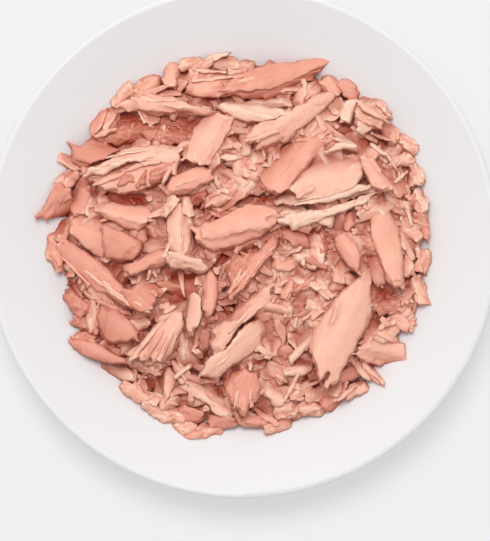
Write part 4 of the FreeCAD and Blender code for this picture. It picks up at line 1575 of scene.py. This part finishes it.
@dataclass
class TunaHeap:
    """The heap: a minced core, a bed of flakes, bits and shreds, the flakes on top, and crumbs between them.

    Attributes:
        face: the plate's upper face.
        well_height: the plate's flat well above the table, in millimetres.
        core_radius: of the minced core, in millimetres.
        core_height: of the minced core, in millimetres.
        strewn_reach: how far from the middle anything strewn may reach, in millimetres.
        heap_radius: where the dome has fallen by dome_fall, in millimetres.
        dome_top: the height of the dome's middle above the table, in millimetres.
        dome_fall: how much lower the dome is at the heap's radius, in millimetres.
        dome_power: how much of that fall is near the edge.
        edge_height: the least that the dome stands over the plate, in millimetres.
        settled: how far the flesh beds into the plate's face, in millimetres.
        lean: how far the far side of each flake is tipped down, in degrees.
    """

    STEEPEST_DEGREES = 20.0
    # Painted shade in the gaps: the blurs of the heap's height it is measured from, and its depths and shares.
    WIDE_MM = 12.0
    CLOSE_MM = 2.5
    SUNK_MM = 2.4
    ENVELOPE_MM = 7.0
    DEEP_MM = 3.4
    SHALLOW_MM = 0.2
    BELOW_SHARE = 0.6
    STIFFNESS = (1e-6, 40.0, 40.0, 3000.0)
    ARCHES = (-0.12, 0.24, 0.32)
    TONE_SPREAD = 0.12
    face: PlateFace
    well_height: float = 6.2
    core_radius: float = 60.0
    core_height: float = 9.0
    strewn_reach: float = 63.5
    heap_radius: float = 62.0
    dome_top: float = 19.8
    dome_fall: float = 8.0
    dome_power: float = 2.4
    edge_height: float = 1.4
    settled: float = 0.15
    lean: float = 11.0
    bed: Scatter = Scatter(125, 57.5, (0.85, 1.2), 0.6, 8.0, -1.2)
    low_bits: Scatter = Scatter(185, 60.0, (0.95, 1.4), 1.5, 18.0, -1.2, picks=2)
    high_bits: Scatter = Scatter(210, 59.0, (0.9, 1.4), 1.5, 20.0, 0.1, 0.9, 3)
    low_shreds: Scatter = Scatter(200, 61.0, (0.85, 1.3), 1.1, 20.0, -0.8)
    high_shreds: Scatter = Scatter(190, 60.0, (0.85, 1.3), 1.2, 20.0, 0.2, 0.92, 2)
    crumbs: Scatter = Scatter(200, 59.0, (0.7, 1.3), 0.5, 30.0, 1.0, 0.97)

    def __post_init__(self) -> None:
        """Readies the ground, the relief and the seeded generator."""
        self.ground = Ground(self.face)
        self.relief = GrainRelief()
        self.rng = random.Random(SEED)

    def core(self) -> Shape:
        """Models the minced core as a low dome with a lumpy skin.

        Returns:
            The core in millimetres, at its place.
        """
        deselect()
        bpy.ops.mesh.primitive_ico_sphere_add(subdivisions=7, radius=1.0)
        piece = bpy.context.object
        bpy.ops.object.mode_set(mode="EDIT")
        bpy.ops.mesh.select_all(action="SELECT")
        bpy.ops.mesh.bisect(plane_co=(0, 0, 0), plane_no=(0, 0, 1), use_fill=True, clear_inner=True)
        bpy.ops.mesh.select_all(action="SELECT")
        size = (self.core_radius, self.core_radius, self.core_height)
        bpy.ops.transform.resize(value=size, center_override=(0, 0, 0))
        bpy.ops.transform.translate(value=(0, 0, self.well_height + 0.6))
        bpy.ops.object.mode_set(mode="OBJECT")
        for name, scale, strength in (("lumps", 7.0, 3.0), ("mince", 2.2, 1.8)):
            noise = bpy.data.textures.new("core_" + name, "CLOUDS")
            noise.noise_scale = scale
            settings = {"texture": noise, "strength": strength, "mid_level": 0.5, "texture_coords": "LOCAL"}
            apply_modifier(piece, "DISPLACE", **settings)
        made = Shape.take(piece)
        self.rest_on_plate(made)
        return made

    def rest_on_plate(self, made: Shape) -> None:
        """Raises what would reach into the plate, all but the little by which wet flesh beds down on it.

        Args:
            made: a shape at its place, in millimetres.
        """
        lowest = self.face.at(made.points[:, 0], made.points[:, 1]) - self.settled
        made.points[:, 2] = np.maximum(made.points[:, 2], lowest)

    def dome(self, x: float, y: float) -> float:
        """The height of the smooth dome that the heap's flakes are packed to, in millimetres."""
        top = self.dome_top - self.dome_fall * (math.hypot(x, y) / self.heap_radius) ** self.dome_power
        return max(top, float(self.face.at(x, y)) + self.edge_height)

    @staticmethod
    def hollow(x: float, y: float) -> float:
        """How far a gap between the large flakes lowers what is strewn there, in millimetres."""
        shares = [
            math.exp(-(((x - gap_x) ** 2 + (y - gap_y) ** 2) / reach**2))
            for gap_x, gap_y, reach in HOLLOWS
        ]
        return HOLLOW_DEPTH_MM * max(shares)

    def lay(self, shape: Shape, spot: Spot, sink: float, cap: float, touching: float = 0.6) -> Shape:
        """Lays a flake on the ground as it is and raises the ground to it.

        The flake follows the ground under it as a stiff leaf would: it takes the ground's slope and a little
        of its curve, and settles until a part of its underside touches. It is soft, so where that would leave
        it standing too high it is pressed in among what lies there.

        Args:
            shape: the flake in its own space, top at height 0.
            spot: where it goes.
            sink: how far it settles past first touch, in millimetres.
            cap: the most that its top stands over the dome, in millimetres.
            touching: the share of the ground under it that it stands clear of at first touch.

        Returns:
            The flake at its place in the heap, still in millimetres.
        """
        made = shape.copy()
        turn = math.radians(spot.turn)
        along, across, up = made.points.T.copy()
        x = spot.x + along * math.cos(turn) - across * math.sin(turn)
        y = spot.y + along * math.sin(turn) + across * math.cos(turn)
        ground = self.ground.at(x, y)
        terms = np.stack([np.ones_like(along), along, across, along**2], axis=1)
        # A small flake tells little of the ground's slope and less of its curve, so both are held back.
        ridge = np.diag(self.STIFFNESS)
        fit = np.linalg.solve(terms.T @ terms + ridge, terms.T @ ground)
        slope = math.tan(math.radians(self.STEEPEST_DEGREES))
        fit[1:3] = np.clip(fit[1:3], -slope, slope)
        rest = terms @ fit
        touch = np.quantile(ground - rest, touching)
        low = up.min()
        tilt = along * math.tan(math.radians(spot.pitch)) + across * math.tan(math.radians(spot.roll))
        height = rest + touch - sink + (up - low) + tilt
        height += min(0.0, self.dome(spot.x, spot.y) + cap - np.quantile(height, 0.97)) + spot.lift
        made.points = np.stack([x, y, height], axis=1)
        self.rest_on_plate(made)
        made.tone += spot.tone + self.rng.uniform(-self.TONE_SPREAD, self.TONE_SPREAD)
        made.grain += [self.rng.uniform(-900, 900) for _ in range(3)]
        self.ground.raise_to(made.drawn())
        return made

    def random_spot(self, scatter: Scatter) -> Spot:
        """Picks a place on the heap, evenly over its area or sooner in its hollows.

        Args:
            scatter: the kind of piece.

        Returns:
            The place, with a random turn and tilt.
        """
        rng = self.rng
        places = []
        for _ in range(scatter.picks):
            reach, angle = scatter.outer * math.sqrt(rng.random()), rng.uniform(0, 2 * math.pi)
            x, y = reach * math.cos(angle), reach * math.sin(angle)
            places.append((float(self.ground.at(x, y)) - self.dome(x, y) + self.hollow(x, y), x, y))
        _, x, y = min(places)
        tilts = [rng.uniform(-scatter.slope, scatter.slope) for _ in range(2)]
        tone = rng.choice((0.0, 0.0, 0.1, 0.2, 0.35))
        return Spot(x, y, rng.uniform(0, 360), *tilts, tone=tone).tipped(self.lean)

    def strew(self, masters: list[Shape], scatter: Scatter) -> list[Shape]:
        """Strews copies of the master shapes over the heap.

        Args:
            masters: the shapes to copy.
            scatter: how they are strewn.

        Returns:
            The laid copies.
        """
        laid = []
        self.rng.seed(f"{SEED} {scatter.count} {scatter.outer}")
        for _ in range(scatter.count):
            spot = self.random_spot(scatter)
            if self.ground.is_covered(spot.x, spot.y) and self.rng.random() < scatter.bare_only:
                continue
            stretch = self.rng.uniform(*scatter.stretch)
            size = self.rng.uniform(*scatter.stretch)
            copy = self.rng.choice(masters).scaled(size * stretch, self.rng.choice((-1, 1)) * size, size)
            # Nothing strewn sticks out past the heap's edge.
            if copy.reach(spot) > self.strewn_reach:
                continue
            laid.append(self.lay(copy, spot, scatter.sink, scatter.cap - self.hollow(spot.x, spot.y)))
        return laid

    def masters(
        self, kinds: tuple, rough: float, grain_mm: float, kept: float, curl: float, bow: float = 0.16
    ) -> list[Shape]:
        """Models each kind of small piece once.

        Args:
            kinds: rows of the kind of cut, the length, the width and the thickness.
            rough: how shredded their faces are.
            grain_mm: how fine their skins are modelled.
            kept: the share of the facets that stay.
            curl: how far they curl, as a share of the length.
            bow: how far their middles swing to one side, as a share of the length.

        Returns:
            One shape for each row.
        """
        self.rng.seed(f"{SEED} {rough} {grain_mm}")
        return [
            Flake(
                cut.value.corners(length, width, self.rng.uniform(-bow, bow) * length),
                thickness,
                rough,
                self.rng.uniform(0, 360),
                grain_mm,
                kept,
                curl,
                self.rng.choice(self.ARCHES),
            ).shape(self.relief, self.rng)
            for cut, length, width, thickness in kinds
        ]

    def placed(
        self,
        flakes: tuple[Laid | Large, ...],
        cap: float,
        touching: float,
        grain_mm: float,
        sink: float = 0.9,
    ) -> list[Shape]:
        """Models and lays flakes one by one, each at its own place.

        Args:
            flakes: the middling or large flakes, in the order that they are dropped.
            cap: the most that each stands over the dome, in millimetres.
            touching: the share of the ground under it that each stands clear of at first touch.
            grain_mm: how fine their skins are modelled.
            sink: how far each settles into what it lies on, in millimetres.

        Returns:
            The laid flakes.
        """
        laid = []
        for flake in flakes:
            spot = flake.spot().tipped(self.lean)
            self.rng.seed(f"{SEED} {spot.x:.1f} {spot.y:.1f}")
            # The broad sloping side of each is the one towards the far side, where the lamp is.
            made = Flake(flake.corners(), flake.thickness, flake.rough, 90.0 - spot.turn, grain_mm)
            laid.append(self.lay(made.shape(self.relief, self.rng), spot, sink, cap, touching))
            # Fewer loose pieces lie on the smoother flakes and on the wholly shredded ones.
            if flake.rough < self.relief.CRUMBLED_FROM or flake.rough >= 1.0:
                self.ground.cover(laid[-1].drawn())
        return laid

    def build(self) -> list[bpy.types.Object]:
        """Models and lays the whole heap.

        Returns:
            The finished pieces, one for each kind.
        """
        core = self.core()
        self.ground.raise_to(core.drawn())
        beds = self.masters(BED_KINDS, rough=0.9, grain_mm=0.55, kept=0.4, curl=0.3)
        bits = self.masters(BIT_KINDS, rough=0.5, grain_mm=0.42, kept=0.24, curl=0.5)
        shreds = self.masters(SHRED_KINDS, rough=0.2, grain_mm=0.34, kept=0.28, curl=0.8, bow=0.3)
        crumbs = self.masters(CRUMB_KINDS, rough=0.3, grain_mm=0.32, kept=0.4, curl=0.5, bow=0.2)
        log.info("masters: %s", [shape.triangles() for shape in beds + bits + shreds + crumbs])
        laid_bed = self.strew(beds, self.bed)
        laid_bits = self.strew(bits, self.low_bits)
        laid_shreds = self.strew(shreds, self.low_shreds)
        laid_small = self.placed(SMALLER_FLAKES, cap=0.8, touching=0.72, grain_mm=0.55)
        laid_bits += self.strew(bits, self.high_bits)
        laid_shreds += self.strew(shreds, self.high_shreds)
        laid_top = self.placed(TOP_FLAKES, cap=3.3, touching=0.85, grain_mm=0.52)
        laid_strips = self.placed(STRIPS, cap=3.8, touching=0.75, grain_mm=0.42, sink=0.85)
        laid_crumbs = self.strew(crumbs, self.crumbs)
        self.relief.clear()
        around = self.ground.blurred(self.WIDE_MM)
        sunk = np.clip((around - self.ground.blurred(self.CLOSE_MM)) / self.SUNK_MM, 0, 1)
        envelope = self.ground.blurred(self.ENVELOPE_MM)
        kinds = {
            "minced_core": [core],
            "bed_flakes": laid_bed,
            "smaller_flakes": laid_small,
            "top_flakes": laid_top,
            "peeled_strips": laid_strips,
            "bits": laid_bits,
            "shreds": laid_shreds,
            "crumbs": laid_crumbs,
        }
        return [self._piece(name, shapes, envelope, sunk) for name, shapes in kinds.items()]

    def _piece(
        self, name: str, shapes: list[Shape], envelope: np.ndarray, sunk: np.ndarray
    ) -> bpy.types.Object:
        """Joins shapes into a finished piece in metres.

        Args:
            name: the piece's name.
            shapes: what it is made of, in millimetres.
            envelope: the smoothed height of the heap's top.
            sunk: how far each part of the heap lies below what stands around it, from 0 to 1.

        Returns:
            The piece.
        """
        shape = Shape.join(shapes)
        rows, columns = self.ground.cells(shape.points[:, 0], shape.points[:, 1])
        below = np.clip((envelope[rows, columns] - shape.points[:, 2] - self.SHALLOW_MM) / self.DEEP_MM, 0, 1)
        # Painted shade: a gap that is closed in all round is darker than the open foot of the heap at the same
        # depth.
        enclosed = sunk[rows, columns] * np.clip(below * 3.0, 0, 1)
        depth = self.BELOW_SHARE * below + (1 - self.BELOW_SHARE) * enclosed
        shape.points *= MM
        piece = shape.build(name, depth)
        reach = np.hypot(shape.points[:, 0], shape.points[:, 1]).max() / MM
        top = shape.points[:, 2].max() / MM
        counts = (len(shapes), shape.triangles())
        log.info("%s: %d parts, %d triangles, top %.1f, reach %.1f", name, *counts, top, reach)
        return piece

    def dress(self, pieces: list[bpy.types.Object]) -> None:
        """Gives every piece its flesh and its body, and stands them in for the heap's node."""
        flaked = CookedTuna("cooked_tuna_flake").material()
        # The bits have a fainter painted highlight on their edges and fainter painted shade in their hollows.
        fine = CookedTuna(
            "cooked_tuna_bits",
            flesh="FBB8A0",
            pink="E89B86",
            roughness=0.55,
            fibre_length_mm=5.0,
            edge_highlight=0.5,
            hollow_shade=0.25,
        ).material()
        for piece in pieces:
            piece.data.materials.append(flaked if piece.name.endswith(("flakes", "strips")) else fine)
            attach(piece, BODY)
            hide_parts(HEAP_NODE)


@dataclass
class Plate:
    """The plate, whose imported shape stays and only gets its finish."""

    glaze: Glaze = Glaze()

    def dress(self) -> bpy.types.Object:
        """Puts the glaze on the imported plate.

        Returns:
            The plate's object.
        """
        plate = frame["nodes"][PLATE_NODE]
        plate.data.materials.clear()
        plate.data.materials.append(self.glaze.material())
        return plate


# --------------------------------------------------------------------------------------------------
# The studio
# --------------------------------------------------------------------------------------------------


@dataclass
class Studio:
    """A pale sweep, a soft lamp from the far side, an even sky and a camera straight above.

    Attributes:
        view_centre: where the camera looks, in millimetres from the plate's middle.
        view_height: how much of the rim's plane the picture is high, in millimetres.
        camera_rise: how far the camera is above the rim, in millimetres.
        sensor: the longer side of the camera's sensor, in millimetres.
        sky: the strength of the even white light from all round.
        lamp_power: of the soft lamp, in watts.
        lamp_place: the lamp's middle, in millimetres.
        lamp_size: the lamp's diameter, in millimetres.
    """

    FLOOR_M = 6.0

    view_centre: tuple[float, float] = (0.9, -9.3)
    view_height: float = 179.3
    camera_rise: float = 900.0
    sensor: float = 36.0
    sky: float = 0.6
    lamp_power: float = 25.7
    lamp_place: tuple[float, float, float] = (-187.0, 952.0, 2040.0)
    lamp_size: float = 1100.0

    def floor(self) -> bpy.types.Object:
        """Lays the sweep on the surface that the plate stands on.

        Returns:
            The floor.
        """
        deselect()
        bpy.ops.mesh.primitive_plane_add(size=self.FLOOR_M)
        floor = bpy.context.object
        floor.name = "sweep"
        floor.data.materials.append(PaleSweep().material())
        return floor

    def lamps(self) -> None:
        """Hangs one large soft lamp on the far side and sets the even sky."""
        world = bpy.data.worlds.new("studio_sky")
        world.use_nodes = True
        world.node_tree.nodes["Background"].inputs["Color"].default_value = (1.0, 1.0, 1.0, 1.0)
        world.node_tree.nodes["Background"].inputs["Strength"].default_value = self.sky
        bpy.context.scene.world = world
        lamp = bpy.data.lights.new("soft_lamp", "AREA")
        lamp.shape = "DISK"
        lamp.size = self.lamp_size * MM
        lamp.energy = self.lamp_power
        hung = bpy.data.objects.new("soft_lamp", lamp)
        hung.location = [value * MM for value in self.lamp_place]
        hung.rotation_euler = hung.location.to_track_quat("Z", "Y").to_euler()
        bpy.context.scene.collection.objects.link(hung)

    def camera(self, rim_height: float) -> None:
        """Sets the camera straight above the plate, with the far side at the top of the picture.

        Args:
            rim_height: the height of the plate's rim in metres.
        """
        data = bpy.data.cameras.new("camera")
        data.sensor_width = self.sensor
        data.lens = self.sensor * self.camera_rise / self.view_height
        data.clip_start, data.clip_end = 0.01, 10.0
        camera = bpy.data.objects.new("camera", data)
        x, y = self.view_centre
        camera.location = (x * MM, y * MM, rim_height + self.camera_rise * MM)
        camera.rotation_euler = Euler((0, 0, 0))
        bpy.context.scene.collection.objects.link(camera)
        bpy.context.scene.camera = camera


def main() -> None:
    """Builds the plate, the heap and the studio in order, and writes the sizes before and after."""
    logging.basicConfig(level=logging.INFO, format="%(name)s: %(message)s")
    plate = Plate().dress()
    log.info("plate: %d faces", len(plate.data.polygons))
    heap = TunaHeap(PlateFace(plate))
    heap.dress(heap.build())
    studio = Studio()
    studio.floor()
    studio.lamps()
    studio.camera(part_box(PLATE_NODE)[1].z)
    bpy.context.scene.view_settings.view_transform = "Standard"


if __name__ == "__main__":
    main()
